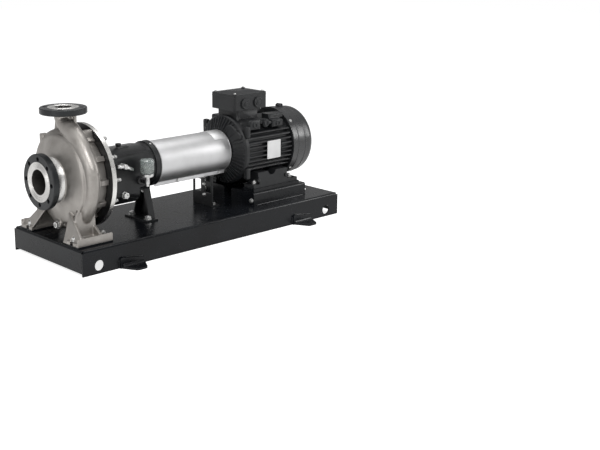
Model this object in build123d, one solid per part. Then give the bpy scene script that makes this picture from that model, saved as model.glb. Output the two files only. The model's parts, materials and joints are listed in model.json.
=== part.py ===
from build123d import *
from math import cos, radians, sin, sqrt
import os

# Centrifugal pump set: end suction pump, coupling and electric motor on a folded sheet base.
# Millimetres. +X runs along the shaft from the suction flange to the motor, +Z is up.
# The origin lies on the floor, below the shaft, in the middle of the base.

# Base
base_length = 1400
base_width = 490
base_height = 100
base_sheet = 6
base_bend = 10
end_flange_lift = 11
corner_notch = 9
corner_seam = 1
lifting_hole = 42
lifting_hole_from_end = 77
lifting_hole_height = 32
cross_member_places = (-600, -180, 400)
cross_member_width = 80
cross_member_depth = 36

# Anchor lugs on the long sides
lug_spacing = 940
lug_length = 120
lug_reach = 70
lug_rise = 44
lug_rise_low = 27
lug_tip_half = 24
lug_sheet = 8
lug_hole = 18
lug_hole_reach = 38
lug_corner = 18

# Pump, main sizes
foot_pad_sheet = 5
pump_centre_height = 225
suction_overhang = 25
suction_to_discharge = 125
discharge_height = 280
shaft_z = base_height + foot_pad_sheet + pump_centre_height
suction_x = -base_length / 2 - suction_overhang
discharge_x = suction_x + suction_to_discharge
discharge_z = shaft_z + discharge_height
pump_length = 530

# Loose flanges, bolted with standard circles
suction_bore = 100
suction_lap = 158
suction_flange_size = 220
suction_flange_thick = 27
suction_circle = 180
suction_holes = 8
discharge_bore = 65
discharge_lap = 122
discharge_flange_size = 185
discharge_flange_thick = 24
discharge_circle = 145
discharge_holes = 4
flange_hole = 18
lap_thick = 5
lap_proud = 1
lap_clearance = 1
flange_edge = 2.5
neck_clearance = 3

# Casing
casing_wall = 9
suction_neck = 114
collar_start = 38
collar_start_size = 138
collar_end = 62
collar_end_size = 182
collar_step = 5
front_disc_rim = 92
front_disc_size = 352
front_disc_edge = 5
groove_depth = 8
rear_ring_start = 152
rear_ring_end = 162
rear_ring_size = 370
rear_wall_size = 338
casing_depth = 201
boss_count = 12
boss_width = 22
boss_reach = 183
boss_high = 30
volute_start_angle = 70
volute_end_angle = 372
volute_start_reach = 187
volute_end_reach = 212
volute_start_depth = 36
volute_end_depth = 62
volute_width = 54
volute_sections = 7
volute_slot = 16
discharge_neck = 76
neck_straight = 30
neck_bends = ((-112, 145), (-42, 198))
neck_sections = 5
neck_web_half = 64
neck_web_foot = 76
neck_web_thick = 10
neck_web_shift = 14
chamber_size = 318
chamber_start = 100

# Square bosses on the casing: start, end, two sides, bottom and top above the shaft
pipe_boss = (150, 201, -84, -60, 140, 192)
tongue_boss = (96, 124, 112, 136, 100, 160)

# Casing feet
foot_length = 160
foot_start = 35
foot_outer = 205
foot_width = 80
foot_sheet = 14
foot_lip = 32
foot_lip_sheet = 8
foot_web = 12
foot_slot = 19
foot_slot_depth = 46
foot_bolt_reach = 157.5
foot_wall_reach = 138
foot_wall_top = 120
foot_leg_lean = 46
foot_leg_high = 130
near_leg = ((100, 0), (96, 65), (88, 112), (121, 90), (162, 64), (205, 32), (205, 0))
far_leg = ((133, 0), (70, 92), (108, 102), (168, 40), (205, 32), (205, 0))
rear_leg = ((126, 0), (126, 56), (138, 56), (199, 14), (199, 0))

# Cover and bearing bracket
bracket_flange_size = 416
bracket_flange_thick = 19
cover_thick = 12
cover_size = 326
bracket_half = 84
bracket_crown = 90
bracket_shoulder = 73
bracket_sump_depth = 138
bracket_neck_depth = 83
bracket_sump_end = 420
bracket_box_end = 466
bracket_sump_round = 46
bracket_neck_round = 14
bracket_end = 526
bracket_ring_size = 190
bracket_ring_wide = 26
bracket_boss_half = 24
bracket_boss_drop = 104
lantern_size = 224
lantern_long = 24
seal_gap = 6
end_cover_size = 172
end_cover_thick = 20
stud_circle = 348
cover_bolt = 16
cover_nut_across = 24
cover_nut_high = 14

# Impeller
impeller_size = 315
impeller_start = 108
impeller_width = 40
impeller_bore = 42
impeller_hub_end = 186
impeller_outlet = 14
impeller_eye = 96
impeller_shroud = 5
impeller_hub_wall = 20
impeller_vanes = 6
impeller_vane_thick = 6
vane_arc = 95
vane_arc_offset = 75
impeller_nut_across = 40
impeller_nut_high = 14

# Small fittings on the pump
cap_from_suction = 378
cap_size = 24
cap_high = 12
cap_edge = 1.5
plug_from_suction = 343
plug_z = 237
plug_across = 24
plug_high = 12
plug_collar = 5
drain_boss_depth = 183
drain_boss_start = 78
drain_boss_size = 34
cock_from_suction = 330
cock_above_shaft = 36
cock_size = 20
cock_pipe = 34
cock_lever = 36
cock_tilt = 24
oiler_from_suction = 422
oiler_reach = 132
oiler_drop = 44
oiler_stem = 20
oiler_pipe = 17
oiler_size = 58
oiler_base_size = 52
oiler_base_high = 16
oiler_high = 60
support_from_suction = 516
support_sides = ((24, 226), (56, 106))
support_foot_half = 76
support_foot_deep = 60
support_flange = 30
support_sheet = 6

# Shafts and coupling
pump_shaft_end = suction_to_discharge + pump_length
coupling_bore = 38
pump_shaft_size = 42
spacer_length = 140
hub_size = 120
hub_length = 72
hub_flange_size = 150
hub_flange_thick = 18
hub_edge = 4
coupling_gap = 3
spacer_size = 90
spacer_wall = 8
spacer_flange_thick = 12
motor_shaft_size = 42
motor_shaft_length = 110

# Coupling guard
guard_size = 180
guard_sheet = 2
guard_start = 526
guard_end = 912
guard_opening_half = 40
guard_lip = 14
guard_hole = 8
guard_hole_from_suction = 650
guard_bracket_x = 824
guard_bracket_width = 130
guard_bracket_sheet = 5
guard_bracket_foot = 40
guard_window_low = 58
guard_window_edge = 22

# Motor
motor_height = 160
motor_shoulder = pump_shaft_end + spacer_length + motor_shaft_length
motor_foot_cross = 254
motor_foot_apart = 210
motor_foot_from_shoulder = 108
motor_body_start = 964
motor_body_end = 1222
motor_body_size = 268
fin_reach = 150
fin_thick = 6
fin_pitch = 20
fin_rows = 4
lower_fin_rows = 3
shield_over = 2
shield_band = 16
shield_nose = 66
shield_face = 96
shield_rib_start = 914
shield_rib_thick = 6
shield_ribs = 24
rear_shield_thick = 18
fan_start = 1262
fan_size = 240
fan_wide = 38
fan_disc = 6
fan_hub_size = 70
fan_blades = 7
fan_cover_over = 7
fan_cover_taper = 7
fan_cover_start = 1227
fan_cover_end = 1366
fan_cover_sheet = 3
fan_cover_round = 36
grille_rings = (60, 110, 160, 210)
grille_gap = 16
grille_spoke = 10

# Pads on the motor's upper flanks: start, end, bottom, top, reach from the middle
flank_pads = ((983, 1050, 424, 468, 128), (1120, 1186, 424, 456, 128), (1128, 1214, 454, 477, 98))
flank_boss = (1082, 448, 36, 128)

# Terminal box
box_start = 942
box_end = 1131
box_half = 78
box_bottom = 507
box_top = 577
box_lid_crown = 8
box_round = 9
box_neck_start = 968
box_neck_end = 1090
box_neck_half = 66
box_lid = 12
box_lid_rim = 7
plug_size = 47
plug_thick = 9
plug_places = (1002, 1076)
plug_height = 535

# Nameplate, left bare
plate_from_suction = 1112
plate_z = 330
plate_length = 80
plate_high = 80
plate_sheet = 1.5
plate_recess = 4
plate_corner = 4

# Motor feet and rails
rail_start = 969
rail_end = 1286
rail_outer = 172
rail_inner = 24
rail_height = 56
rail_sheet = 6
rail_bend = 9
motor_foot_start = 985
motor_foot_end = 1250
motor_foot_plate = 16
motor_foot_outer = 155
motor_foot_inner = 92
motor_foot_block_start = 1008
motor_foot_block_end = 1184
motor_foot_block_top = 239
motor_foot_block_deep = 77
motor_foot_slant = 14
motor_bolt = 15
motor_notch_from_suction = 1093
motor_notch = 48
motor_notch_lift = 5
body_gap = 0.3
packer_over = 6

shaft_axis = Axis((0, 0, shaft_z), (1, 0, 0))


def at_x(distance):
    """Row place of a distance measured from the suction face along the shaft."""
    return suction_x + distance


def turned(outline):
    """Turn an outline of (distance from suction face, radius) about the shaft."""
    edge = Polyline(*[(at_x(x), 0, shaft_z + r) for x, r in outline], close=True)
    return revolve(make_face(edge), shaft_axis, 360)


def shaft_disc(start, end, size, y=0, z=shaft_z):
    """Round bar along X between two distances from the suction face."""
    middle = (at_x(start) + at_x(end)) / 2
    return Pos(middle, y, z) * Rot(0, 90, 0) * Cylinder(size / 2, end - start)


def block(x0, x1, y0, y1, z0, z1):
    """Box between two corners, x in the row frame."""
    return Pos((x0 + x1) / 2, (y0 + y1) / 2, (z0 + z1) / 2) * Box(x1 - x0, y1 - y0, z1 - z0)


def upright(size, z0, z1, x, y):
    """Round bar along Z."""
    return Pos(x, y, (z0 + z1) / 2) * Cylinder(size / 2, z1 - z0)


def write(name, shape):
    """Write one sub-part to its own file."""
    shape.label = name
    export_step(shape, f"parts/{name}.step")


def base_frame():
    """Sheet folded down on four sides, with corner reliefs and lifting holes."""
    half, side = base_length / 2, base_width / 2
    outer = block(-half, half, -side, side, 0, base_height)
    top_edges = outer.faces().sort_by(Axis.Z)[-1].edges()
    outer = fillet(top_edges, base_bend)
    s = base_sheet
    inner = block(-half + s, half - s, -side + s, side - s, 0, base_height - s)
    inner = fillet(inner.faces().sort_by(Axis.Z)[-1].edges(), base_bend - s)
    sheet = outer - inner
    for end in (-1, 1):
        cut = block(end * half - s, end * half + s, -side + s, side - s, 0, end_flange_lift)
        sheet -= cut
        for flank in (-1, 1):
            seam_y = flank * (side - s - corner_seam / 2)
            seam = Pos(end * half, seam_y, base_height / 2) * Box(2 * s, corner_seam, base_height)
            cube = 2 * corner_notch
            notch = Pos(end * half, flank * side, base_height) * Box(cube, cube, cube)
            sheet -= seam + notch
    for x in (-1, 1):
        place = x * (half - lifting_hole_from_end)
        hole = Pos(place, 0, lifting_hole_height) * Rot(90, 0, 0) * Cylinder(lifting_hole / 2, 2 * base_width)
        sheet -= hole
    return sheet


def base_cross_members():
    """Channels that stiffen the top of the base from below."""
    reach = base_width / 2 - base_sheet - base_bend
    top = base_height - base_sheet
    half = cross_member_width / 2
    s = base_sheet
    members = []
    for x in cross_member_places:
        channel = block(x - half, x + half, -reach, reach, top - cross_member_depth, top)
        hollow = block(x - half + s, x + half - s, -reach, reach, top - cross_member_depth, top - s)
        members.append(channel - hollow)
    return Compound(members)


def anchor_lug(x, side):
    """Bent angle bracket on the side of the base, drilled for an anchor bolt."""
    wall = side * base_width / 2
    half, tip_y = lug_length / 2, wall + side * lug_reach
    ear = [(x - half, wall), (x - lug_tip_half, tip_y), (x + lug_tip_half, tip_y), (x + half, wall)]
    foot = extrude(make_face(Polyline(*ear, close=True)), amount=lug_sheet, dir=(0, 0, 1))
    tip = [e for e in foot.edges().filter_by(Axis.Z) if abs(e.center().Y - wall) > 1]
    foot = fillet(tip, lug_corner)
    v0, v1 = sorted((wall, wall + side * lug_sheet))
    strip = [(x - half, 0), (x - half, lug_rise), (x + half, lug_rise_low), (x + half, 0)]
    back = plate_along(strip, v0, v1)
    top = [e for e in back.edges().filter_by(Axis.Y) if e.center().Z > 1]
    back = fillet(top, lug_sheet)
    lug = foot + back
    return lug - upright(lug_hole, -1, lug_sheet + 1, x, wall + side * lug_hole_reach)


def anchor_lugs():
    """Four lugs, two on each long side."""
    return Compound([anchor_lug(x * lug_spacing / 2, y) for x in (-1, 1) for y in (-1, 1)])


def pump_foot_pads():
    """Packing plates between the casing feet and the base."""
    z0 = base_height
    z1 = base_height + foot_pad_sheet
    x0, x1 = at_x(foot_start), at_x(foot_start + foot_length)
    inner = foot_outer - foot_width
    return Compound([
        block(x0, x1, -foot_outer, -inner, z0, z1),
        block(x0, x1, inner, foot_outer, z0, z1),
    ])


def volute_rings(wall):
    """Ellipses round the spiral: place, direction and two radii, less the wall."""
    rings = []
    for i in range(volute_sections):
        share = i / (volute_sections - 1)
        a = radians(volute_start_angle + (volute_end_angle - volute_start_angle) * share)
        depth = volute_start_depth + (volute_end_depth - volute_start_depth) * share
        reach = volute_start_reach + (volute_end_reach - volute_start_reach) * sqrt(share)
        centre = reach - depth / 2
        place = Vector(discharge_x, -centre * cos(a), shaft_z + centre * sin(a))
        rings.append((place, Vector(0, sin(a), cos(a)), volute_width / 2 - wall, depth / 2 - wall))
    return rings


def neck_rings(wall, top):
    """Ellipses from the throat up the bent neck to its straight end."""
    place, along, wide, deep = volute_rings(0)[-1]
    bends = [Vector(discharge_x, y, shaft_z + rise) for y, rise in neck_bends]
    end = Vector(discharge_x, 0, discharge_z - neck_straight)
    path = Spline([place, *bends, end], tangents=[along, (0, 0, 1)])
    r = discharge_neck / 2
    rings = []
    for i in range(neck_sections + 1):
        share = i / neck_sections
        sizes = [size + (r - size) * share - wall for size in (wide, deep)]
        rings.append((path @ share, path % share, *sizes))
    rings.append((Vector(discharge_x, 0, top), Vector(0, 0, 1), r - wall, r - wall))
    return rings


def tube_through(rings):
    """Smooth tube through ellipses given by place, direction and two radii."""
    faces = []
    for place, along, wide, deep in rings:
        plane = Plane(origin=place, x_dir=(1, 0, 0), z_dir=along)
        faces.append(plane * Ellipse(wide, deep))
    return loft(faces)


def plate_across(outline, x0, x1):
    """Plate between two places along X with an outline of (y, z)."""
    edge = make_face(Polyline(*[(x0, y, z) for y, z in outline], close=True))
    return extrude(edge, amount=x1 - x0, dir=(1, 0, 0))


def plate_along(outline, y0, y1):
    """Plate between two places along Y with an outline of (x, z)."""
    edge = make_face(Polyline(*[(x, y0, z) for x, z in outline], close=True))
    return extrude(edge, amount=y1 - y0, dir=(0, 1, 0))


def casing_foot(side, leg):
    """One foot: slotted plate with a lip, leaning front leg, side wall up to the casing and rear rib."""
    x0, x1 = at_x(foot_start), at_x(foot_start + foot_length)
    z0 = base_height + foot_pad_sheet
    outer, inner = side * foot_outer, side * (foot_outer - foot_width)
    y0, y1 = sorted((outer, inner))
    foot = block(x0, x1, y0, y1, z0, z0 + foot_sheet)
    y0, y1 = sorted((outer, outer - side * foot_lip_sheet))
    foot += block(x0, x1, y0, y1, z0, z0 + foot_lip)
    lean = [
        (x0, z0), (x0 + foot_web, z0),
        (x0 + foot_web + foot_leg_lean, z0 + foot_leg_high), (x0 + foot_leg_lean, z0 + foot_leg_high),
    ]
    front = plate_across([(side * y, z0 + z) for y, z in leg], x0, x1)
    foot += front & plate_along(lean, -foot_outer, foot_outer)
    y0, y1 = sorted((side * foot_wall_reach, side * (foot_wall_reach - foot_web)))
    top, rear = z0 + foot_wall_top, x1 - foot_lip
    wall = [(x0 + foot_web, z0), (rear, z0), (rear, top), (x0 + foot_leg_lean, top)]
    foot += plate_along(wall, y0, y1)
    foot += plate_across([(side * y, z0 + z) for y, z in rear_leg], rear - foot_web, rear)
    slot_y = side * foot_bolt_reach
    slot_half = foot_slot / 2
    slot_end = x0 + foot_slot_depth
    foot -= block(x0 - 1, slot_end, slot_y - slot_half, slot_y + slot_half, z0 - 1, z0 + foot_lip)
    return foot - upright(foot_slot, z0 - 1, z0 + foot_lip, slot_end, slot_y)


def casing_outline():
    """Outline of the casing's turned body, from the suction face to the cover."""
    lap, neck = suction_lap / 2, suction_neck / 2
    collar, disc = collar_end_size / 2, front_disc_size / 2
    ring, wall = rear_ring_size / 2, rear_wall_size / 2
    groove = disc - groove_depth
    edge, rim = front_disc_edge, front_disc_rim
    return [
        (0, 0), (0, lap), (lap_thick, lap), (lap_thick, neck), (collar_start, neck),
        (collar_start, collar_start_size / 2), (collar_end, collar), (collar_end + collar_step, collar - 2),
        (rim - edge, disc - 1.5 * edge), (rim - edge / 3, disc - edge / 3), (rim, disc),
        (rim + edge / 2, disc), (rim + edge, groove), (rear_ring_start - edge, groove),
        (rear_ring_start, ring - 2), (rear_ring_start + 2, ring), (rear_ring_end, ring),
        (rear_ring_end, wall), (casing_depth, wall), (casing_depth, 0),
    ]


def neck_web():
    """Plate on both sides of the neck that carries the loose flange."""
    x = discharge_x + neck_web_shift
    top = discharge_z - lap_proud - discharge_flange_thick - body_gap
    low, middle = shaft_z + pipe_boss[4], shaft_z + pipe_boss[5]
    half, foot = neck_web_half, neck_web_foot
    outline = [
        (-half, top), (half, top), (half, middle), (foot, low), (-foot - half / 2, low), (-half, middle),
    ]
    return plate_across(outline, x - neck_web_thick / 2, x + neck_web_thick / 2)


def pump_casing():
    """Volute casing with lapped necks, ring of bosses and feet."""
    body = turned(casing_outline())
    middle = at_x((rear_ring_end + casing_depth) / 2)
    boss = Box(casing_depth - rear_ring_end, boss_width, boss_high)
    boss = Pos(middle, 0, boss_reach - boss_high / 2) * boss
    for i in range(boss_count):
        body += Pos(0, 0, shaft_z) * Rot(i * 360 / boss_count, 0, 0) * boss
    body += tube_through(volute_rings(0))
    body += tube_through(neck_rings(0, discharge_z - lap_thick))
    body += upright(discharge_lap, discharge_z - lap_thick, discharge_z, discharge_x, 0)
    body += neck_web()
    for x0, x1, y0, y1, z0, z1 in (pipe_boss, tongue_boss):
        body += block(at_x(x0), at_x(x1), y0, y1, shaft_z + z0, shaft_z + z1)
    throat = discharge_x - suction_x
    body += shaft_disc(drain_boss_start, throat, drain_boss_size, 0, shaft_z - drain_boss_depth)
    body += casing_foot(-1, near_leg)
    body += casing_foot(1, far_leg)
    body -= shaft_disc(-1, chamber_start + 1, suction_bore)
    body -= shaft_disc(chamber_start, casing_depth - cover_thick, chamber_size)
    body -= shaft_disc(casing_depth - cover_thick - 1, casing_depth + 1, cover_size)
    slot_size = 2 * volute_start_reach - volute_start_depth
    body -= shaft_disc(throat - volute_slot / 2, throat + volute_slot / 2, slot_size)
    body -= tube_through(volute_rings(casing_wall))
    body -= tube_through(neck_rings((discharge_neck - discharge_bore + 1) / 2, discharge_z + 1))
    return body - upright(discharge_bore, discharge_z - neck_straight, discharge_z + 1, discharge_x, 0)


def loose_flange(size, neck, lap, thick, circle, count, first_angle):
    """Drilled ring with broken edges, recessed for the lap, axis +Z, back face on z = 0."""
    low = (Align.CENTER, Align.CENTER, Align.MIN)
    ring = Cylinder(size / 2, thick, align=low)
    ring = chamfer(ring.edges(), flange_edge)
    ring -= Pos(0, 0, -1) * Cylinder(neck / 2 + neck_clearance, thick + 2, align=low)
    recess = lap_thick - lap_proud
    ring -= Pos(0, 0, thick - recess) * Cylinder(lap / 2 + lap_clearance, recess + 1, align=low)
    for i in range(count):
        a = radians(first_angle + i * 360 / count)
        place = Pos(circle / 2 * cos(a), circle / 2 * sin(a), -1)
        ring -= place * Cylinder(flange_hole / 2, thick + 2, align=low)
    return ring


def suction_flange():
    """Loose flange round the suction lap, one hole straight up."""
    ring = loose_flange(suction_flange_size, suction_neck, suction_lap, suction_flange_thick,
                        suction_circle, suction_holes, 0)
    return Pos(at_x(lap_proud + suction_flange_thick), 0, shaft_z) * Rot(0, -90, 0) * ring


def discharge_flange():
    """Loose flange round the discharge lap, holes off the centre lines."""
    ring = loose_flange(discharge_flange_size, discharge_neck, discharge_lap, discharge_flange_thick,
                        discharge_circle, discharge_holes, 45)
    return Pos(discharge_x, 0, discharge_z - lap_proud - discharge_flange_thick) * ring


def casing_cover():
    """Disc that closes the back of the casing round the shaft."""
    disc = shaft_disc(casing_depth - cover_thick, casing_depth, cover_size - 1)
    return disc - shaft_disc(casing_depth - cover_thick - 1, casing_depth + 1, pump_shaft_size + 2 * seal_gap)


def housing_section(depth, corner):
    """Cross section of the bearing housing: domed top, straight sides, rounded below."""
    half, shoulder = bracket_half, bracket_shoulder
    dome = ThreePointArc((-half, shoulder), (0, bracket_crown), (half, shoulder))
    sides = Polyline((half, shoulder), (half, -depth), (-half, -depth), (-half, shoulder))
    face = make_face(dome.edges() + sides.edges())
    lower = [v for v in face.vertices() if v.Y < 0]
    return fillet(lower, corner)


def bearing_housing():
    """Housing behind the bolting flange: oil sump in front, round end, seat for the support."""
    start = casing_depth + bracket_flange_thick
    plane = Plane(origin=(at_x(start), 0, shaft_z), x_dir=(0, 1, 0), z_dir=(1, 0, 0))
    deep = housing_section(bracket_sump_depth, bracket_sump_round)
    shallow = housing_section(bracket_neck_depth, bracket_neck_round)
    housing = extrude(plane * deep, amount=bracket_sump_end - start)
    housing += extrude(plane * shallow, amount=bracket_box_end - start)
    housing += shaft_disc(bracket_box_end - 1, bracket_end, 2 * bracket_crown)
    seat_x, seat_z = at_x(support_from_suction), shaft_z - bracket_boss_drop
    half = bracket_boss_half
    housing += block(seat_x - support_flange, seat_x, -half, half, seat_z, shaft_z - half)
    plug_seat = bracket_half - drain_boss_size / 2
    return housing + side_stub(plug_from_suction, plug_z, drain_boss_size, plug_seat, bracket_half)


def bearing_bracket():
    """Bolting flange, lantern and bearing housing with its oil sump."""
    flange_end = casing_depth + bracket_flange_thick
    body = shaft_disc(casing_depth, flange_end, bracket_flange_size)
    lantern = lantern_size / 2
    body += turned([
        (flange_end, 0), (flange_end, lantern), (flange_end + lantern_long, bracket_crown),
        (flange_end + lantern_long, 0),
    ])
    body += bearing_housing()
    body += shaft_disc(bracket_end - bracket_ring_wide, bracket_end, bracket_ring_size)
    return body - shaft_disc(casing_depth - 1, bracket_end + 1, pump_shaft_size + 2 * seal_gap)


def bearing_end_cover():
    """Stepped cover over the coupling side bearing."""
    r = end_cover_size / 2
    end = bracket_end + end_cover_thick
    cover = turned([
        (bracket_end, 0), (bracket_end, r), (end - 8, r), (end - 8, r - 24), (end, r - 28), (end, 0),
    ])
    return cover - shaft_disc(bracket_end - 1, end + 1, pump_shaft_size + 1)


def cover_bolts():
    """Nuts on studs behind the bracket flange, one at each boss."""
    low = (Align.CENTER, Align.CENTER, Align.MIN)
    nut = extrude(RegularPolygon(cover_nut_across / 2, 6, major_radius=False), amount=cover_nut_high)
    nut += Pos(0, 0, cover_nut_high) * Cylinder(cover_bolt / 2, cover_bolt / 3, align=low)
    place = Pos(at_x(casing_depth + bracket_flange_thick), 0, stud_circle / 2) * Rot(0, 90, 0)
    turns = [Rot(i * 360 / boss_count, 0, 0) for i in range(boss_count)]
    return Compound([Pos(0, 0, shaft_z) * turn * place * nut for turn in turns])


def impeller():
    """Closed impeller: two shrouds with backward curved vanes between."""
    r, eye, t = impeller_size / 2, impeller_eye / 2, impeller_shroud
    bore, start = impeller_bore / 2, impeller_start
    hub, plate = bore + impeller_hub_wall, start + impeller_width
    outlet = plate - impeller_outlet
    back = turned([
        (plate - impeller_width / 2, bore), (plate - impeller_width / 2, bore + t),
        (plate - t, eye + hub / 2), (plate, r), (plate + t, r), (plate + t, hub),
        (impeller_hub_end, hub), (impeller_hub_end, bore),
    ])
    front = turned([
        (start - t, eye), (start - t, eye + t), (start + t, eye + 1.5 * t),
        (outlet - t, r), (outlet, r), (start + 2 * t, eye + t), (start + t, eye),
    ])
    between = turned([
        (start + t, eye), (outlet - t / 2, r), (plate + t / 2, r), (plate, eye + hub / 2),
        (plate - impeller_width / 4, hub),
    ])
    plane = Plane(origin=(at_x(start), 0, shaft_z), x_dir=(0, 1, 0), z_dir=(1, 0, 0))
    half = impeller_vane_thick / 2
    arc = Pos(vane_arc_offset, 0) * (Circle(vane_arc + half) - Circle(vane_arc - half))
    arc &= Pos(0, r) * Rectangle(4 * r, 2 * r)
    vanes = Sketch()
    for i in range(impeller_vanes):
        vanes += Rot(0, 0, i * 360 / impeller_vanes) * arc
    return back + front + (extrude(plane * vanes, amount=impeller_width + t) & between)


def impeller_nut():
    """Nut that holds the impeller on the shaft, seen through the suction bore."""
    nut = extrude(RegularPolygon(impeller_nut_across / 2, 6, major_radius=False), amount=-impeller_nut_high)
    return Pos(at_x(impeller_start + impeller_width / 2), 0, shaft_z) * Rot(0, 90, 0) * nut


def pump_shaft():
    """Stepped pump shaft from the impeller to the coupling hub."""
    r, small = pump_shaft_size / 2, coupling_bore / 2
    start, end = impeller_start + impeller_width / 2, pump_shaft_end
    step = end - hub_length
    return turned([(start, 0), (start, r), (step, r), (step, small), (end, small), (end, 0)])


def oil_filler_cap():
    """Low screwed cap on the crown of the bearing housing."""
    x, z = at_x(cap_from_suction), shaft_z + bracket_crown
    neck = upright(cap_size - cap_high / 2, z - 1, z + cap_high / 3, x, 0)
    head = upright(cap_size, z + cap_high / 3, z + cap_high, x, 0)
    return neck + fillet(head.edges(), cap_edge) - bearing_housing()


def side_stub(x, z, size, start, end):
    """Round bar along Y that stands out on the near side, from start to end."""
    return Pos(at_x(x), -(start + end) / 2, z) * Rot(90, 0, 0) * Cylinder(size / 2, end - start)


def bracket_drain_plug():
    """Hexagon plug low on the near side of the oil sump."""
    seat = bracket_half + plug_collar
    collar = side_stub(plug_from_suction, plug_z, plug_across + plug_collar, bracket_half, seat)
    hexagon = extrude(RegularPolygon(plug_across / 2, 6, major_radius=False), amount=plug_high)
    return collar + Pos(at_x(plug_from_suction), -seat, plug_z) * Rot(90, 0, 0) * hexagon


def casing_drain_plug():
    """Hexagon plug in the drain boss, facing the suction side."""
    hexagon = extrude(RegularPolygon(plug_across / 2, 6, major_radius=False), amount=-plug_high)
    place = Pos(at_x(drain_boss_start), 0, shaft_z - drain_boss_depth)
    return place * Rot(0, 90, 0) * hexagon


def vent_cock():
    """Small lever cock on the near side of the bearing housing, with its thin pipe."""
    z, seat = shaft_z + cock_above_shaft, bracket_half
    out = seat + cock_size
    body = side_stub(cock_from_suction, z, cock_size / 2, seat, out)
    body += Pos(at_x(cock_from_suction), -out, z) * Sphere(cock_size / 2)
    pipe = Pos(at_x(cock_from_suction) - cock_pipe / 2, -out, z + cock_size / 4)
    body += pipe * Rot(0, 90, 0) * Cylinder(cock_size / 6, cock_pipe)
    lever = Box(cock_lever, cock_size / 2, cock_size / 2)
    lever = fillet(lever.edges().filter_by(Axis.X), cock_size / 8)
    place = Pos(at_x(cock_from_suction) + cock_lever / 3, -out - cock_size / 3, z - cock_size / 6)
    return body + place * Rot(0, cock_tilt, 0) * lever


def oiler_elbow():
    """Boss and pipe that carry the oiler out from the housing."""
    x, z, seat = oiler_from_suction, shaft_z - oiler_drop, bracket_half
    pipe = side_stub(x, z, oiler_pipe, seat, oiler_reach)
    boss = side_stub(x, z, 2 * oiler_pipe, seat, seat + oiler_pipe)
    riser = upright(oiler_pipe, z, z + oiler_stem, at_x(x), -oiler_reach)
    knee = Pos(at_x(x), -oiler_reach, z) * Sphere(oiler_pipe / 2)
    return pipe + boss + riser + knee


def oiler_base():
    """Metal cup under the bottle."""
    z = shaft_z - oiler_drop + oiler_stem
    cup = upright(oiler_base_size, z, z + oiler_base_high, at_x(oiler_from_suction), -oiler_reach)
    return chamfer(cup.edges().group_by(Axis.Z)[0], oiler_base_high / 3)


def oiler_bottle():
    """Clear bottle with a thick lip that stands on the cup."""
    x, z = at_x(oiler_from_suction), shaft_z - oiler_drop + oiler_stem + oiler_base_high
    r, low, high = oiler_size / 2, oiler_base_size / 2, oiler_high
    outline = [
        (0, 0), (low - 2, 0), (low + 1, 6), (low + 1, high - 15), (r, high - 12),
        (r, high - 4), (r - 4, high), (0, high),
    ]
    edge = Polyline(*[(x + a, -oiler_reach, z + b) for a, b in outline], close=True)
    return revolve(make_face(edge), Axis((x, -oiler_reach, 0), (0, 0, 1)), 360)


def bracket_support_foot():
    """Folded leg under the coupling end of the bearing housing, open to the front."""
    x, sheet, half = at_x(support_from_suction), support_sheet, support_foot_half
    right = list(support_sides) + [(support_sides[-1][0], base_height)]
    left = [(-y, z) for y, z in reversed(right)]
    leg = plate_across(right + left, x - support_flange, x)
    inner = [(y - sheet, z) for y, z in ((right[0][0], right[0][1] - sheet), right[1], right[2])]
    hollow = inner + [(-y, z) for y, z in reversed(inner)]
    leg -= plate_across(hollow, x - support_flange - 1, x - sheet)
    return leg + block(x - support_foot_deep, x, -half, half, base_height, base_height + sheet)


def hub(start, direction, shaft_size):
    """Coupling half: sleeve on the shaft end and a flange at its face."""
    r, f, bore = hub_size / 2, hub_flange_size / 2, shaft_size / 2
    edge = start + direction * hub_edge
    step = start + direction * (hub_length - hub_flange_thick)
    face = start + direction * hub_length
    return turned([
        (start, bore), (start, r - hub_edge), (edge, r), (step, r), (step, f), (face, f), (face, bore),
    ])


def coupling_spacer():
    """Hollow spacer between the two coupling halves."""
    start, end = pump_shaft_end + coupling_gap, pump_shaft_end + spacer_length - coupling_gap
    r, f, t = spacer_size / 2, hub_flange_size / 2, spacer_flange_thick
    bore = r - spacer_wall
    return turned([
        (start, bore), (start, f), (start + t, f), (start + t, r),
        (end - t, r), (end - t, f), (end, f), (end, bore),
    ])


def coupling_disc_packs():
    """Spring disc packs between hubs and spacer."""
    packs = []
    for start in (pump_shaft_end, pump_shaft_end + spacer_length - coupling_gap):
        end = start + coupling_gap
        ring = shaft_disc(start, end, hub_flange_size - 2 * coupling_gap)
        packs.append(ring - shaft_disc(start - 1, end + 1, spacer_size - spacer_wall))
    return Compound(packs)


def coupling_guard():
    """Sheet tube, open below, with two straight lips."""
    r, s = guard_size / 2, guard_sheet
    h = guard_opening_half
    plane = Plane(origin=(at_x(guard_start), 0, shaft_z), x_dir=(0, 1, 0), z_dir=(1, 0, 0))
    section = Circle(r) - Circle(r - s)
    section -= Pos(0, -r) * Rectangle(2 * h, r)
    rim = sqrt(r * r - h * h)
    for side in (-1, 1):
        section += Pos(side * h, -rim - guard_lip / 2 + s) * Rectangle(s, guard_lip + s)
    guard = extrude(plane * section, amount=guard_end - guard_start)
    hole = Pos(at_x(guard_hole_from_suction), 0, shaft_z - rim - guard_lip / 2) * Rot(90, 0, 0)
    return guard - hole * Cylinder(guard_hole / 2, guard_size)


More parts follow.
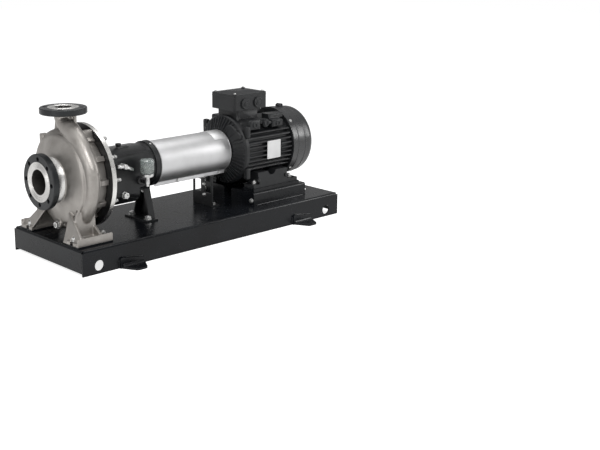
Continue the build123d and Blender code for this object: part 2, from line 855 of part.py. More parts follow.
def guard_bracket():
    """Bent plate with two windows that holds the guard's lips."""
    x, s, half = at_x(guard_bracket_x), guard_bracket_sheet, guard_bracket_width / 2
    lip_top = shaft_z - sqrt(guard_size ** 2 / 4 - guard_opening_half ** 2)
    top = lip_top - guard_lip + guard_sheet / 2 - 1
    plate = block(x - s / 2, x + s / 2, -half, half, base_height, top)
    plate += block(x - s / 2, x + guard_bracket_foot, -half, half, base_height, base_height + s)
    inner = guard_opening_half - guard_sheet / 2
    low, high = base_height + guard_window_low, top - guard_window_edge
    tab = guard_bracket_foot / 3
    for side in (-1, 1):
        w0, w1 = sorted((side * guard_window_edge / 2, side * (half - guard_window_edge / 2)))
        plate -= block(x - s, x + s, w0, w1, low, high)
        e0, e1 = sorted((side * inner, side * (inner - s)))
        plate += block(x - tab, x + tab, e0, e1, top - guard_window_edge, lip_top)
    return plate


def motor_shaft():
    """Shaft through the motor, with its free end in the coupling half."""
    r = motor_shaft_size / 2
    nose = motor_shoulder - motor_shaft_length
    return turned([(nose, 0), (nose, r - 2), (nose + 2, r), (fan_start + 45, r), (fan_start + 45, 0)])


def motor_section():
    """Round stator with level fins at the sides and upright fins below."""
    section = Sketch() + Circle(motor_body_size / 2)
    for i in range(-fin_rows, fin_rows + 1):
        section += Pos(0, i * fin_pitch) * Rectangle(4 * fin_reach, fin_thick)
    for i in range(-lower_fin_rows, lower_fin_rows + 1):
        section += Pos(i * fin_pitch, -fin_reach) * Rectangle(fin_thick, 2 * fin_reach)
    return section & Circle(fin_reach)


def motor_frame():
    """Finned stator housing with the neck for the terminal box and pads on its flanks."""
    plane = Plane(origin=(at_x(motor_body_start), 0, shaft_z), x_dir=(0, 1, 0), z_dir=(1, 0, 0))
    frame = extrude(plane * motor_section(), amount=motor_body_end - motor_body_start)
    low = shaft_z + motor_body_size / 3
    neck = block(at_x(box_neck_start), at_x(box_neck_end), -box_neck_half, box_neck_half, low, box_bottom)
    frame += fillet(neck.edges().filter_by(Axis.Z), box_round)
    boss_x, boss_z, boss_size, boss_reach_out = flank_boss
    for side in (-1, 1):
        for start, end, z0, z1, reach in flank_pads:
            y0, y1 = sorted((side * reach, side * reach / 2))
            frame += block(at_x(start), at_x(end), y0, y1, z0, z1)
        y0 = side * boss_reach_out * 0.75
        boss = Pos(at_x(boss_x), y0, boss_z) * Rot(90, 0, 0) * Cylinder(boss_size / 2, boss_reach_out / 2)
        frame += boss
    flat = fin_reach - plate_recess
    half, high = plate_length / 2 + plate_recess, plate_high / 2 + plate_recess
    x = at_x(plate_from_suction)
    frame -= block(x - half, x + half, -2 * fin_reach, -flat, plate_z - high, plate_z + high)
    return frame - shaft_disc(motor_body_start - 1, motor_body_end + 1, motor_shaft_size + 1)


def motor_end_shield_front():
    """Drive end shield: cone with radial ribs, outer band and bearing nose."""
    start, end = motor_shoulder, motor_body_start
    r, t = fin_reach + shield_over, shield_rib_thick
    band = end - shield_band
    shield = turned([
        (start, 0), (start, shield_nose), (start + 2 * t, shield_nose), (start + 2 * t, shield_face),
        (band - t, r - t), (band, r), (end, r), (end, 0),
    ])
    rib = [
        (shield_rib_start, shield_nose - t), (shield_rib_start, shield_face + t),
        (band - 2 * t, r - t), (band, r - t), (band, shield_nose - t),
    ]
    edge = make_face(Polyline(*[(at_x(x), 0, z) for x, z in rib], close=True))
    plate = extrude(edge, amount=t / 2, dir=(0, 1, 0), both=True)
    for i in range(shield_ribs):
        shield += Pos(0, 0, shaft_z) * Rot(i * 360 / shield_ribs, 0, 0) * plate
    return shield - shaft_disc(start - 1, end + 1, motor_shaft_size + 1)


def motor_end_shield_rear():
    """Plain shield behind the stator, inside the fan cover."""
    start, end = motor_body_end, motor_body_end + rear_shield_thick
    cover = fin_reach + fan_cover_over - fan_cover_sheet - 1
    low = cover - rear_shield_thick
    shield = turned([
        (start, 0), (start, low), (fan_cover_start, low), (fan_cover_start, cover), (end, cover),
        (end, shield_nose), (end + 12, shield_nose - 15), (end + 12, 0),
    ])
    return shield - shaft_disc(start - 1, end + rear_shield_thick, motor_shaft_size + 1)


def motor_fan():
    """Radial fan on the rear shaft end."""
    disc = shaft_disc(fan_start, fan_start + fan_disc, fan_size)
    blades = disc + shaft_disc(fan_start, fan_start + fan_wide, fan_hub_size)
    for i in range(fan_blades):
        blade = block(at_x(fan_start), at_x(fan_start + fan_wide), -2, 2, fan_hub_size / 3, fan_size / 2 - 2)
        blades += Pos(0, 0, shaft_z) * Rot(i * 360 / fan_blades, 0, 0) * blade
    return blades - shaft_disc(fan_start - 1, fan_start + 2 * fan_wide, motor_shaft_size)


def motor_fan_cover():
    """Pressed cover that tapers to a rounded back with a ring grille."""
    start, end, sheet = fan_cover_start, fan_cover_end, fan_cover_sheet
    r = fin_reach + fan_cover_over
    back = r - fan_cover_taper
    cup = turned([(start, 0), (start, r), (end, back), (end, 0)])
    cup = fillet(cup.edges().sort_by(Axis.X)[-1], fan_cover_round)
    inner = turned([(start - 1, 0), (start - 1, r - sheet), (end - sheet, back - sheet), (end - sheet, 0)])
    cover = cup - fillet(inner.edges().sort_by(Axis.X)[-1], fan_cover_round - sheet)
    half = grille_spoke / 2
    spokes = block(at_x(end - 2 * sheet), at_x(end + 2), -r, r, shaft_z - half, shaft_z + half)
    spokes += Pos(0, 0, shaft_z) * Rot(90, 0, 0) * Pos(0, 0, -shaft_z) * spokes
    for size in grille_rings:
        ring = shaft_disc(end - 2 * sheet, end + 1, size + grille_gap)
        ring -= shaft_disc(end - 2 * sheet - 1, end + 2, size - grille_gap)
        cover -= ring - spokes
    return cover


def motor_feet():
    """Cast feet on both sides: long plate and a notched block up to the stator."""
    z0 = shaft_z - motor_height
    z1, top = z0 + motor_foot_plate, motor_foot_block_top
    start, end, slant = motor_foot_block_start, motor_foot_block_end, motor_foot_slant
    outline = [(at_x(start + slant), z0), (at_x(start), top), (at_x(end), top), (at_x(end + slant / 2), z0)]
    feet = []
    for side in (-1, 1):
        y0, y1 = sorted((side * motor_foot_outer, side * motor_foot_inner))
        foot = block(at_x(motor_foot_start), at_x(motor_foot_end), y0, y1, z0, z1)
        y0, y1 = sorted((side * motor_foot_outer, side * motor_foot_block_deep))
        foot += plate_along(outline, y0, y1)
        notch = Pos(at_x(motor_notch_from_suction), 0, top + motor_notch_lift) * Rot(90, 0, 0)
        foot -= notch * Cylinder(motor_notch / 2, 4 * fin_reach)
        foot -= shaft_disc(motor_foot_start - 1, motor_foot_end + 1, motor_body_size + 2 * body_gap)
        for x in (motor_foot_from_shoulder, motor_foot_from_shoulder + motor_foot_apart):
            foot -= upright(motor_bolt, z0 - 1, z1 + 1, at_x(motor_shoulder + x), side * motor_foot_cross / 2)
        feet.append(foot)
    return Compound(feet)


def motor_rails():
    """Two folded channels that raise the motor to the shaft height."""
    top, s = base_height + rail_height, rail_sheet
    rails = []
    for side in (-1, 1):
        y0, y1 = sorted((side * rail_outer, side * rail_inner))
        outer = block(at_x(rail_start), at_x(rail_end), y0, y1, base_height, top)
        outer = fillet([e for e in outer.edges().filter_by(Axis.X) if e.center().Z > top - 1], rail_bend)
        hollow = block(at_x(rail_start + s), at_x(rail_end - s), y0 + s, y1 - s, base_height, top - s)
        rails.append(outer - hollow)
    return Compound(rails)


def motor_packers():
    """Flat plates between the rails and the motor feet."""
    z0, z1 = base_height + rail_height, shaft_z - motor_height
    x0, x1 = at_x(motor_foot_start - packer_over), at_x(motor_foot_end + packer_over)
    plates = []
    for side in (-1, 1):
        y0, y1 = sorted((side * (motor_foot_outer + packer_over), side * motor_foot_inner))
        plates.append(block(x0, x1, y0, y1, z0, z1))
    return Compound(plates)


def terminal_box():
    """Cast box with rounded corners on the neck."""
    box = block(at_x(box_start), at_x(box_end), -box_half, box_half, box_bottom, box_top - box_lid)
    box = fillet(box.edges().filter_by(Axis.Z), box_round)
    return box


def terminal_box_lid():
    """Lid with a shallow crown."""
    z0, z1 = box_top - box_lid, box_top
    lid = block(at_x(box_start), at_x(box_end), -box_half, box_half, z0, z1)
    lid = fillet(lid.edges().filter_by(Axis.Z), box_round)
    long, wide = box_end - box_start - 2 * box_lid_rim, 2 * (box_half - box_lid_rim)
    middle = Pos((at_x(box_start) + at_x(box_end)) / 2, 0, 0)
    foot = middle * Pos(0, 0, z1) * RectangleRounded(long, wide, box_round)
    crest = middle * Pos(0, 0, z1 + box_lid_crown) * RectangleRounded(long / 2, wide / 3, box_round)
    return lid + loft([foot, crest])


def cable_plugs():
    """Blind round plugs in the near side of the box."""
    plugs = []
    for x in plug_places:
        disc = side_stub(x, plug_height, plug_size, box_half, box_half + plug_thick)
        plugs.append(chamfer(disc.edges().sort_by(Axis.Y)[0], plug_thick / 3))
    return Compound(plugs)


def motor_nameplate():
    """Bare plate on the near side fins."""
    flat, x, half, high = fin_reach - plate_recess, at_x(plate_from_suction), plate_length / 2, plate_high / 2
    plate = block(x - half, x + half, -flat - plate_sheet, -flat, plate_z - high, plate_z + high)
    return fillet(plate.edges().filter_by(Axis.Y), plate_corner)


def build_all():
    """Write every sub-part."""
    os.makedirs("parts", exist_ok=True)
    makers = [
        base_frame, base_cross_members, anchor_lugs, pump_foot_pads, pump_casing, suction_flange,
        discharge_flange, casing_cover, bearing_bracket, bearing_end_cover, cover_bolts, impeller,
        impeller_nut, pump_shaft, oil_filler_cap, bracket_drain_plug, casing_drain_plug, vent_cock,
        oiler_elbow, oiler_base, oiler_bottle, bracket_support_foot, coupling_spacer,
        coupling_disc_packs, coupling_guard, guard_bracket, motor_shaft, motor_frame,
        motor_end_shield_front, motor_end_shield_rear, motor_fan, motor_fan_cover, motor_feet,
        motor_rails, motor_packers, terminal_box, terminal_box_lid, cable_plugs, motor_nameplate,
    ]
    for maker in makers:
        write(maker.__name__, maker())
    write("coupling_hub_pump", hub(pump_shaft_end - hub_length, 1, coupling_bore))
    write("coupling_hub_motor", hub(pump_shaft_end + spacer_length + hub_length, -1, motor_shaft_size))


build_all()
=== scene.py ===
import json
from math import atan2, cos, pi, radians, sin, sqrt

import bmesh
import bpy
from mathutils import Matrix, Vector


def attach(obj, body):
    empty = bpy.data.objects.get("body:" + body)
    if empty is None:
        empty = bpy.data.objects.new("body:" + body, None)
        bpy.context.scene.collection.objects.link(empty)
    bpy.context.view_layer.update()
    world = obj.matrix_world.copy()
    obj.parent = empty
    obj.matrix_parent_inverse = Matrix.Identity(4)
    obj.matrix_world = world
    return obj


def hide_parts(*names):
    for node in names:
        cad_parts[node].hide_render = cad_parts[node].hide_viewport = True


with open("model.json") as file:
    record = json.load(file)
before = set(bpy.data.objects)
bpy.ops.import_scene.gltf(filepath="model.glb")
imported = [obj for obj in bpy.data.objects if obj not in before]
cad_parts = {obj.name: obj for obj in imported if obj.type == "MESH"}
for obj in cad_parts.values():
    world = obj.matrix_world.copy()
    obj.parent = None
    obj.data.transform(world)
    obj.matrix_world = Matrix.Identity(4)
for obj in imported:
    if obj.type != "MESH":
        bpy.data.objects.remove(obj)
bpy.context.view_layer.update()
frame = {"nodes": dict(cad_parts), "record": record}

# Camera of the photograph, in metres and degrees
CAMERA_PLACE = (-2.8295, -3.4880, 1.2811)
CAMERA_YAW = 47.944
CAMERA_PITCH = 14.319
CAMERA_LENS = 64.25
CAMERA_SHIFT = (0.1, -0.0417)

# Main places of the set, in metres
SUCTION_X = -0.725
SHAFT_Z = 0.330
DISCHARGE_X = -0.600
DISCHARGE_Z = 0.610

# Shapes are given in millimetres, and places along the set count from the suction face
MM = 0.001
SHAFT_HEIGHT = 330
SIDES = ((-1, "-Y"), (1, "Y"))

# Places along the set
FLANGE_RIM = (200.5, 220.5)
OILER_PLACE = 422
GUARD_START = 526
SIDE_PADS = (980, 1216)
SHIELD_JOINT = 958
COVER_RIM = 1227
COVER_SCREWS = 1243
COVER_END = 1366

# Bolts: thread, width across flats, height of the head and width of the washer
FOOT_BOLT = (16, 24, 12, 32)
COVER_NUT = (16, 24, 13.5, 30)
LEG_BOLT = (16, 24, 10, 32)
SEAT_BOLT = (12, 18, 7.5, 24)
LIP_SCREW = (6, 10, 4, 12.5)
STRAP_BOLT = (8, 13, 5.5, 17)
STAND_BOLT = (10, 16, 6.5, 21)
MOTOR_BOLT = (12, 19, 8.5, 26)
RAIL_BOLT = (10, 17, 7, 22)
CHAMFER_RISE = 0.035


def new_object(name, data):
    """Object of some data, linked to the scene."""
    thing = bpy.data.objects.new(name, data)
    bpy.context.scene.collection.objects.link(thing)
    return thing


def along(distance):
    """Row place in metres of a distance from the suction face."""
    return SUCTION_X + distance / 1000


def spot(distance, y, z):
    """Point in metres: distance from the suction face, side and height."""
    return Vector((along(distance), y / 1000, z / 1000))


def outward(turn):
    """Way out from the shaft's line, turned by degrees from +Y to +Z."""
    return Vector((0, cos(radians(turn)), sin(radians(turn))))


def raised(height):
    """Matrix that lifts a shape along its own Z."""
    return Matrix.Translation((0, 0, height * MM))


# Finishes
LATHE_LINES = 2600
LATHE_GREY = (0.72, 0.71, 0.69)
EDGE_WEAR = 0.3


class Tree:
    """Nodes of a material or of the world."""

    def __init__(self, owner):
        owner.use_nodes = True
        self.nodes, self.links = owner.node_tree.nodes, owner.node_tree.links

    def feed(self, socket, value):
        """Link an output to a socket, or set the socket's value."""
        if isinstance(value, bpy.types.NodeSocket):
            self.links.new(value, socket)
        else:
            socket.default_value = (*value, 1) if socket.type == "RGBA" else value

    def add(self, kind, inputs=None, **settings):
        """A node with its settings and what its inputs are fed."""
        node = self.nodes.new(kind)
        for key, value in settings.items():
            setattr(node, key, value)
        for key, value in (inputs or {}).items():
            self.feed(node.inputs[key], value)
        return node

    def maths(self, operation, *values):
        """Arithmetic on outputs and numbers."""
        return self.add("ShaderNodeMath", dict(enumerate(values)), operation=operation).outputs[0]

    def mix(self, factor, first, second, kind="RGBA"):
        """Mix of two colours, or of two numbers with the kind FLOAT."""
        node = self.add("ShaderNodeMix", {"Factor": factor, "A": first, "B": second}, data_type=kind)
        return node.outputs["Result"]

    def spread(self, value, low, high, start=0.3, end=0.7):
        """Map the stretch of a value from start to end to the range from low to high."""
        node = self.add("ShaderNodeMapRange", {
            "Value": value, "From Min": start, "From Max": end, "To Min": low, "To Max": high,
        })
        return node.outputs["Result"]


class Finish(Tree):
    """A material made of nodes on object coordinates."""

    def __init__(self, name, colour, metallic=0.0, roughness=0.5):
        self.material = bpy.data.materials.new(name)
        super().__init__(self.material)
        self.shader = self.nodes["Principled BSDF"]
        self.use(Base_Color=colour, Metallic=metallic, Roughness=roughness)
        self.place = self.add("ShaderNodeTexCoord").outputs["Object"]

    def use(self, **inputs):
        """Feed the shader's sockets, each by its name with _ for a space."""
        for key, value in inputs.items():
            self.feed(self.shader.inputs[key.replace("_", " ")], value)

    def grain(self, scale, detail=3.0, stretch=None, roughness=0.5):
        """Noise of so many grains per metre, stretched where asked."""
        place = self.place
        if stretch:
            place = self.add("ShaderNodeMapping", {"Vector": place, "Scale": stretch}).outputs["Vector"]
        noise = self.add("ShaderNodeTexNoise", {
            "Vector": place, "Scale": scale, "Detail": detail, "Roughness": roughness,
        })
        return noise.outputs["Fac"]

    def turned_lines(self, axis, first, second):
        """Fine lathe lines round an axis along X or Z through a centre."""
        x, y, z = self.add("ShaderNodeSeparateXYZ", {0: self.place}).outputs
        across = (x, y) if axis == "Z" else (y, z)
        level = z if axis == "Z" else x
        one = self.maths("SUBTRACT", across[0], first)
        two = self.maths("SUBTRACT", across[1], second)
        square = self.maths("ADD", self.maths("MULTIPLY", one, one), self.maths("MULTIPLY", two, two))
        reach = self.maths("ADD", self.maths("SQRT", square), level)
        noise = {"W": reach, "Scale": LATHE_LINES, "Detail": 1.0}
        return self.add("ShaderNodeTexNoise", noise, noise_dimensions="1D").outputs["Fac"]

    def tint(self, value, dark, pale, start=0.35, end=0.65):
        """Blend two colours by a noise."""
        return self.mix(self.spread(value, 0, 1, start, end), dark, pale)

    def round_edges(self, edge):
        """Normal that turns softly round every edge."""
        return self.add("ShaderNodeBevel", {"Radius": edge}, samples=4).outputs["Normal"]

    def relief(self, edge, *layers):
        """Edges rounded where asked, then bumps of height, depth in metres and strength."""
        normal = self.round_edges(edge) if edge else None
        for height, depth, strength in layers:
            bump = self.add("ShaderNodeBump", {"Height": height, "Distance": depth, "Strength": strength})
            if normal:
                self.links.new(normal, bump.inputs["Normal"])
            normal = bump.outputs["Normal"]
        self.use(Normal=normal)

    def worn_edge(self, edge, colour, worn, amount):
        """Colour that turns paler where an edge has been rubbed."""
        flat = self.add("ShaderNodeNewGeometry").outputs["Normal"]
        dot = self.add("ShaderNodeVectorMath", {0: self.round_edges(edge), 1: flat}, operation="DOT_PRODUCT")
        rub = self.spread(dot.outputs["Value"], amount, 0, 0.86, 0.99)
        broken = self.maths("MULTIPLY", rub, self.spread(self.grain(90, 4), 0, 1, 0.42, 0.62))
        return self.mix(broken, colour, worn)

    def vary(self, colour, noise, roughness, below, above):
        """Give the finish its colour, and a roughness that a noise varies."""
        self.use(Base_Color=colour, Roughness=self.spread(noise, roughness - below, roughness + above))
        return self.material


def scaled(colour, share, added=0.0):
    """Darker or paler colour of the same hue, none of its parts over 1."""
    return tuple(min(1.0, added + share * part) for part in colour)


def paint(name, dark, pale, roughness, edge, skin=0.0, gloss=0.35):
    """Sprayed paint with orange peel, a cast skin below it where asked, and rubbed edges."""
    finish = Finish(name, pale)
    colour = finish.tint(finish.grain(7, 4), dark, pale)
    layers = [(finish.grain(420, 1), 0.00025, 0.09)]
    if skin:
        layers.append((finish.grain(190, 4, roughness=0.6), 0.0008, skin))
    finish.relief(edge, *layers)
    finish.use(Specular_IOR_Level=gloss)
    colour = finish.worn_edge(edge * 1.4, colour, scaled(pale, 2.4, 0.05), EDGE_WEAR)
    return finish.vary(colour, finish.grain(26, 5), roughness, 0.05, 0.08)


def cast_steel(name, dark, pale, roughness, grain_depth):
    """Cast stainless steel after bead blasting: fine even grain and soft clouds."""
    finish = Finish(name, pale, 0.82, roughness)
    speck = finish.grain(1100, 2)
    colour = finish.tint(finish.grain(11, 5, roughness=0.62), dark, pale)
    finish.relief(
        0.0018,
        (finish.grain(46, 3), 0.0018, 0.16),
        (finish.grain(330, 4, roughness=0.65), 0.0006, grain_depth),
        (speck, 0.0003, 0.35),
    )
    colour = finish.tint(speck, colour, pale, 0.45, 0.8)
    return finish.vary(colour, finish.grain(38, 4), roughness, 0.07, 0.09)


def turned_steel(name, colour, roughness, axis, first, second):
    """Steel turned on a lathe, with fine lines round its axis."""
    finish = Finish(name, colour, 1.0, roughness)
    lines = finish.turned_lines(axis, first, second)
    finish.relief(0.0006, (lines, 0.00018, 0.35))
    cloud = finish.tint(finish.grain(16, 4), scaled(colour, 0.78), colour)
    return finish.vary(cloud, lines, roughness, 0.08, 0.12)


def brushed_sheet(name, colour, roughness, stretch, depth=0.3):
    """Sheet steel brushed one way."""
    finish = Finish(name, colour, 1.0, roughness)
    strokes = finish.grain(1, 3, stretch=stretch, roughness=0.7)
    finish.relief(0.0008, (strokes, 0.00012, depth))
    cloud = finish.tint(finish.grain(9, 4), scaled(colour, 0.86), colour)
    return finish.vary(cloud, strokes, roughness, 0.06, 0.08)


def plated(name, colour, roughness):
    """Zinc plated steel, faintly clouded."""
    finish = Finish(name, colour, 1.0, roughness)
    cloud = finish.grain(140, 4)
    finish.relief(0.0006, (finish.grain(900, 2), 0.0001, 0.25))
    return finish.vary(finish.tint(cloud, scaled(colour, 0.72), colour), cloud, roughness, 0.07, 0.1)


def moulded(name, colour, roughness):
    """Moulded plastic with a fine texture."""
    finish = Finish(name, colour, 0.0, roughness)
    finish.relief(0.0006, (finish.grain(1500, 2), 0.0002, 0.3))
    cloud = finish.tint(finish.grain(40, 3), colour, scaled(colour, 1.5))
    return finish.vary(cloud, finish.grain(60, 3), roughness, 0.05, 0.07)


def clear_plastic(name):
    """Clear bottle wall with faint moulding waves."""
    finish = Finish(name, (0.60, 0.65, 0.635))
    finish.relief(0, (finish.grain(70, 2), 0.0005, 0.12))
    rough = finish.spread(finish.grain(120, 3), 0.02, 0.09)
    finish.use(Transmission_Weight=0.74, IOR=1.46, Roughness=rough)
    return finish.material


def pale_oil(name):
    """Lubricating oil seen through the bottle."""
    finish = Finish(name, (0.83, 0.72, 0.42), 0.0, 0.02)
    cloud = finish.tint(finish.grain(30, 2), (0.80, 0.76, 0.62), (0.90, 0.88, 0.78))
    finish.use(Transmission_Weight=0.9, IOR=1.47, Base_Color=cloud)
    return finish.material


# Bore liners: cast grain in a colour far darker than the casing, so the dark is painted shade inside the
# bores
bore_painted_shade = cast_steel("bore_painted_shade_casting", (0.05, 0.047, 0.044), (0.085, 0.08, 0.075), 0.6, 0.5)
lathe_face = turned_steel("turned_steel_shaft", LATHE_GREY, 0.30, "X", 0.0, SHAFT_Z)
lathe_top = turned_steel("turned_steel_flange", LATHE_GREY, 0.30, "Z", DISCHARGE_X, 0.0)
bracket_finish = paint(
    "dark_bracket", (0.006, 0.0065, 0.007), (0.011, 0.012, 0.013), 0.33, 0.0018, skin=0.35,
)
motor_finish = paint(
    "dark_grey_motor", (0.008, 0.0085, 0.0095), (0.0145, 0.0155, 0.017), 0.40, 0.0015, skin=0.3,
)
cover_finish = paint(
    "dark_grey_cover", (0.014, 0.0145, 0.0155), (0.021, 0.022, 0.0235), 0.27, 0.0012, gloss=0.6,
)
zinc = plated("zinc_plated", (0.70, 0.70, 0.69), 0.34)
dark_plastic = moulded("black_moulding", (0.012, 0.012, 0.013), 0.42)
oil = pale_oil("oil_fill")

SLOT_FINISH = {
    "base_paint": paint("black_base", (0.0035, 0.004, 0.005), (0.007, 0.008, 0.01), 0.22, 0.0012, gloss=0.22),
    "cast_stainless": cast_steel(
        "bead_blasted_casting", (0.285, 0.268, 0.25), (0.38, 0.36, 0.338), 0.42, 0.3,
    ),
    "flange_paint": paint(
        "charcoal_flange", (0.008, 0.009, 0.010), (0.015, 0.017, 0.0185), 0.34, 0.0012, skin=0.25,
    ),
    "bracket_paint": bracket_finish,
    "machined_steel": lathe_face,
    "guard_steel": brushed_sheet("brushed_guard", (0.63, 0.63, 0.635), 0.46, (900, 12, 12), 0.12),
    "zinc_steel": zinc,
    "motor_paint": motor_finish,
    "black_plastic": dark_plastic,
    "clear_bottle": clear_plastic("clear_bottle_wall"),
    "plate_aluminium": brushed_sheet("bare_aluminium_plate", (0.66, 0.66, 0.66), 0.45, (900, 900, 18)),
}


def dress_nodes():
    """Give each part of the frame the finish of its slot, and the fan cover its own paint."""
    for entry in frame["record"]["subparts"]:
        piece = frame["nodes"][entry["node"]]
        finish = SLOT_FINISH[entry["material_slot"]]
        if entry["node"] == "motor_fan_cover":
            finish = cover_finish
        piece.data.materials.clear()
        piece.data.materials.append(finish)


# Shapes


def spun(outline, steps, closed=False):
    """Turned shape about Z from an outline of (radius, height)."""
    shape = bmesh.new()
    corners = [shape.verts.new((radius * MM, 0, height * MM)) for radius, height in outline]
    pairs = list(zip(corners, corners[1:]))
    if closed:
        pairs.append((corners[-1], corners[0]))
    edges = [shape.edges.new(pair) for pair in pairs]
    bmesh.ops.spin(
        shape, geom=corners + edges, cent=(0, 0, 0), axis=(0, 0, 1),
        angle=2 * pi, steps=steps, use_merge=True,
    )
    bmesh.ops.remove_doubles(shape, verts=shape.verts, dist=1e-6)
    bmesh.ops.recalc_face_normals(shape, faces=shape.faces)
    return shape


def round_off(shape, edges, width, segments, limited=True):
    """Bevel some edges of a shape."""
    bmesh.ops.bevel(
        shape, geom=edges, offset=width * MM, offset_type="OFFSET", segments=segments,
        profile=0.5, affect="EDGES", clamp_overlap=limited, material=-1,
    )
    return shape


def rounded(shape, width, segments=2, sharp=35):
    """Round the sharp edges of a shape."""
    edges = [edge for edge in shape.edges if edge.is_manifold and edge.calc_face_angle(0) > radians(sharp)]
    return round_off(shape, edges, width, segments)


def slab(x0, x1, y0, y1, z0, z1, edge=0.0, segments=2):
    """Plate between two corners, its edges rounded where asked."""
    shape = bmesh.new()
    bmesh.ops.create_cube(shape, size=1)
    size = Matrix.Diagonal(((x1 - x0) * MM, (y1 - y0) * MM, (z1 - z0) * MM, 1))
    middle = Matrix.Translation(((x0 + x1) / 2 * MM, (y0 + y1) / 2 * MM, (z0 + z1) / 2 * MM))
    shape.transform(middle @ size)
    return rounded(shape, edge, segments) if edge else shape


def slab_at(x0, x1, *sizes):
    """Plate of the set, its ends counted from the suction face."""
    start = SUCTION_X / MM
    return slab(start + x0, start + x1, *sizes)


def on_side(side, near, far):
    """Two distances from the middle plane on one side, in rising order."""
    return sorted((side * near, side * far))


def hexagon(across, high, edge):
    """Six sided head with a chamfered top, standing on Z = 0."""
    shape = bmesh.new()
    reach = across / sqrt(3) * MM
    bmesh.ops.create_cone(
        shape, cap_ends=True, segments=6, radius1=reach, radius2=reach, depth=high * MM,
        matrix=raised(high / 2),
    )
    tops = [face for face in shape.faces if face.normal.z > 0.9]
    bmesh.ops.inset_region(shape, faces=tops, thickness=across * 0.05 * MM, depth=0)
    bmesh.ops.translate(shape, verts=list(tops[0].verts), vec=(0, 0, across * CHAMFER_RISE * MM))
    return rounded(shape, edge, 2, 20)


def sink_socket(shape, rim, draft, deep):
    """Sink a socket into the top face: width of the rim round it, its draft and its depth."""
    top = max(shape.faces, key=lambda face: face.calc_center_median().z + face.normal.z)
    bmesh.ops.inset_region(shape, faces=[top], thickness=rim * MM, depth=0)
    bmesh.ops.inset_region(shape, faces=[top], thickness=draft * MM, depth=-deep * MM)
    return shape


def socket_plug(across, high):
    """Hexagon plug head with a hexagon socket in its top."""
    return sink_socket(hexagon(across, high, across * 0.03), across * 0.17, across * 0.01, high * 0.55)


def socket_screw(size, high):
    """Round head with a socket, on Z = 0."""
    shape = spun([(0, 0), (size / 2, 0), (size / 2, high * 0.9), (size * 0.44, high), (0, high)], 24)
    bmesh.ops.dissolve_faces(shape, faces=[face for face in shape.faces if face.normal.z > 0.9])
    return sink_socket(shape, size * 0.2, size * 0.02, high * 0.5)


def washer(outer, inner, thick):
    """Flat washer on Z = 0, given by its radii."""
    edge = min(0.4, thick / 4)
    outline = [
        (inner, 0), (outer - edge, 0), (outer, edge), (outer, thick - edge),
        (outer - edge, thick), (inner, thick),
    ]
    return spun(outline, 32, closed=True)


def thread_end(size, start, end):
    """Threaded end of a stud along Z, with a chamfered tip."""
    pitch = size / 8
    reach, root = size / 2, size / 2 - pitch * 0.55
    outline = [(0, start), (root, start)]
    for turn in range(int((end - start) / pitch - 0.6)):
        height = start + turn * pitch
        outline += [(reach, height + pitch * 0.45), (reach, height + pitch * 0.55), (root, height + pitch)]
    outline += [(root, end - pitch * 0.4), (root - pitch * 0.5, end), (0, end)]
    return spun(outline, 18)


def bolt_set(kind, tail=0):
    """Hexagon head or nut on its washer, with a stud end where asked, on Z = 0."""
    size, across, head, ring = kind
    thick = size * 0.16
    parts = Piece()
    parts.add(washer(ring / 2, size / 2, thick))
    parts.add(hexagon(across, head, across * 0.03), raised(thick))
    if tail:
        parts.add(thread_end(size, thick + head * 0.5, thick + head + tail))
    else:
        dish = [(0, 0.2), (across * 0.30, 0.2), (across * 0.33, 0), (across * 0.33, -0.4)]
        parts.turn(dish, 20, raised(thick + head + across * CHAMFER_RISE))
    return parts.shape


def place_on(point, axis="Z", turn=0.0):
    """Matrix that stands a shape's Z along an axis at a point, turned about it by degrees."""
    ways = {
        "Z": (0, 0, 1), "-Z": (0, 0, -1), "X": (1, 0, 0), "-X": (-1, 0, 0), "Y": (0, 1, 0), "-Y": (0, -1, 0),
    }
    way = Vector(ways[axis] if isinstance(axis, str) else axis)
    aim = way.to_track_quat("Z", "Y").to_matrix().to_4x4()
    return Matrix.Translation(point) @ aim @ Matrix.Rotation(radians(turn), 4, "Z")


def on_shaft(distance):
    """Matrix that stands a shape on the shaft's line, its Z along +X."""
    return place_on(spot(distance, 0, SHAFT_HEIGHT), "X")


class Piece:
    """Collects shapes into one object, in zinc plated steel unless another slot is given."""

    def __init__(self, name="", slot="zinc_steel", *finishes):
        self.name, self.slot = name, slot
        self.finishes = finishes
        self.shape = bmesh.new()

    def add(self, shape, place=None, finish=0):
        """Take in a shape at a place, with one of the piece's finishes."""
        if place is not None:
            shape.transform(place)
        for face in shape.faces:
            face.material_index = finish
        mesh = bpy.data.meshes.new("shape")
        shape.to_mesh(mesh)
        shape.free()
        self.shape.from_mesh(mesh)
        bpy.data.meshes.remove(mesh)

    def turn(self, outline, steps, place, finish=0):
        """Take in a turned shape of an open outline."""
        self.add(spun(outline, steps), place, finish)

    def ring(self, outline, steps, place, finish=0):
        """Take in a turned ring of a closed outline."""
        self.add(spun(outline, steps, closed=True), place, finish)

    def bolt(self, kind, point, way="Z", turn=0.0, tail=0):
        """Take in a bolt or nut that stands on a point."""
        self.add(bolt_set(kind, tail), place_on(point, way, turn))

    def grips(self, count, reach, place, *sizes):
        """Take in small ribs round an axis: their number, distance from it and corners."""
        for step in range(count):
            turn = Matrix.Rotation(2 * pi * step / count, 4, "Z")
            self.add(slab(*sizes), place @ turn @ Matrix.Translation((reach * MM, 0, 0)))

    def make(self, *nodes, smooth=30):
        """Turn the collected shapes into an object that rides on the set."""
        finished(self.name, self.slot, self.shape, nodes, smooth, *self.finishes)


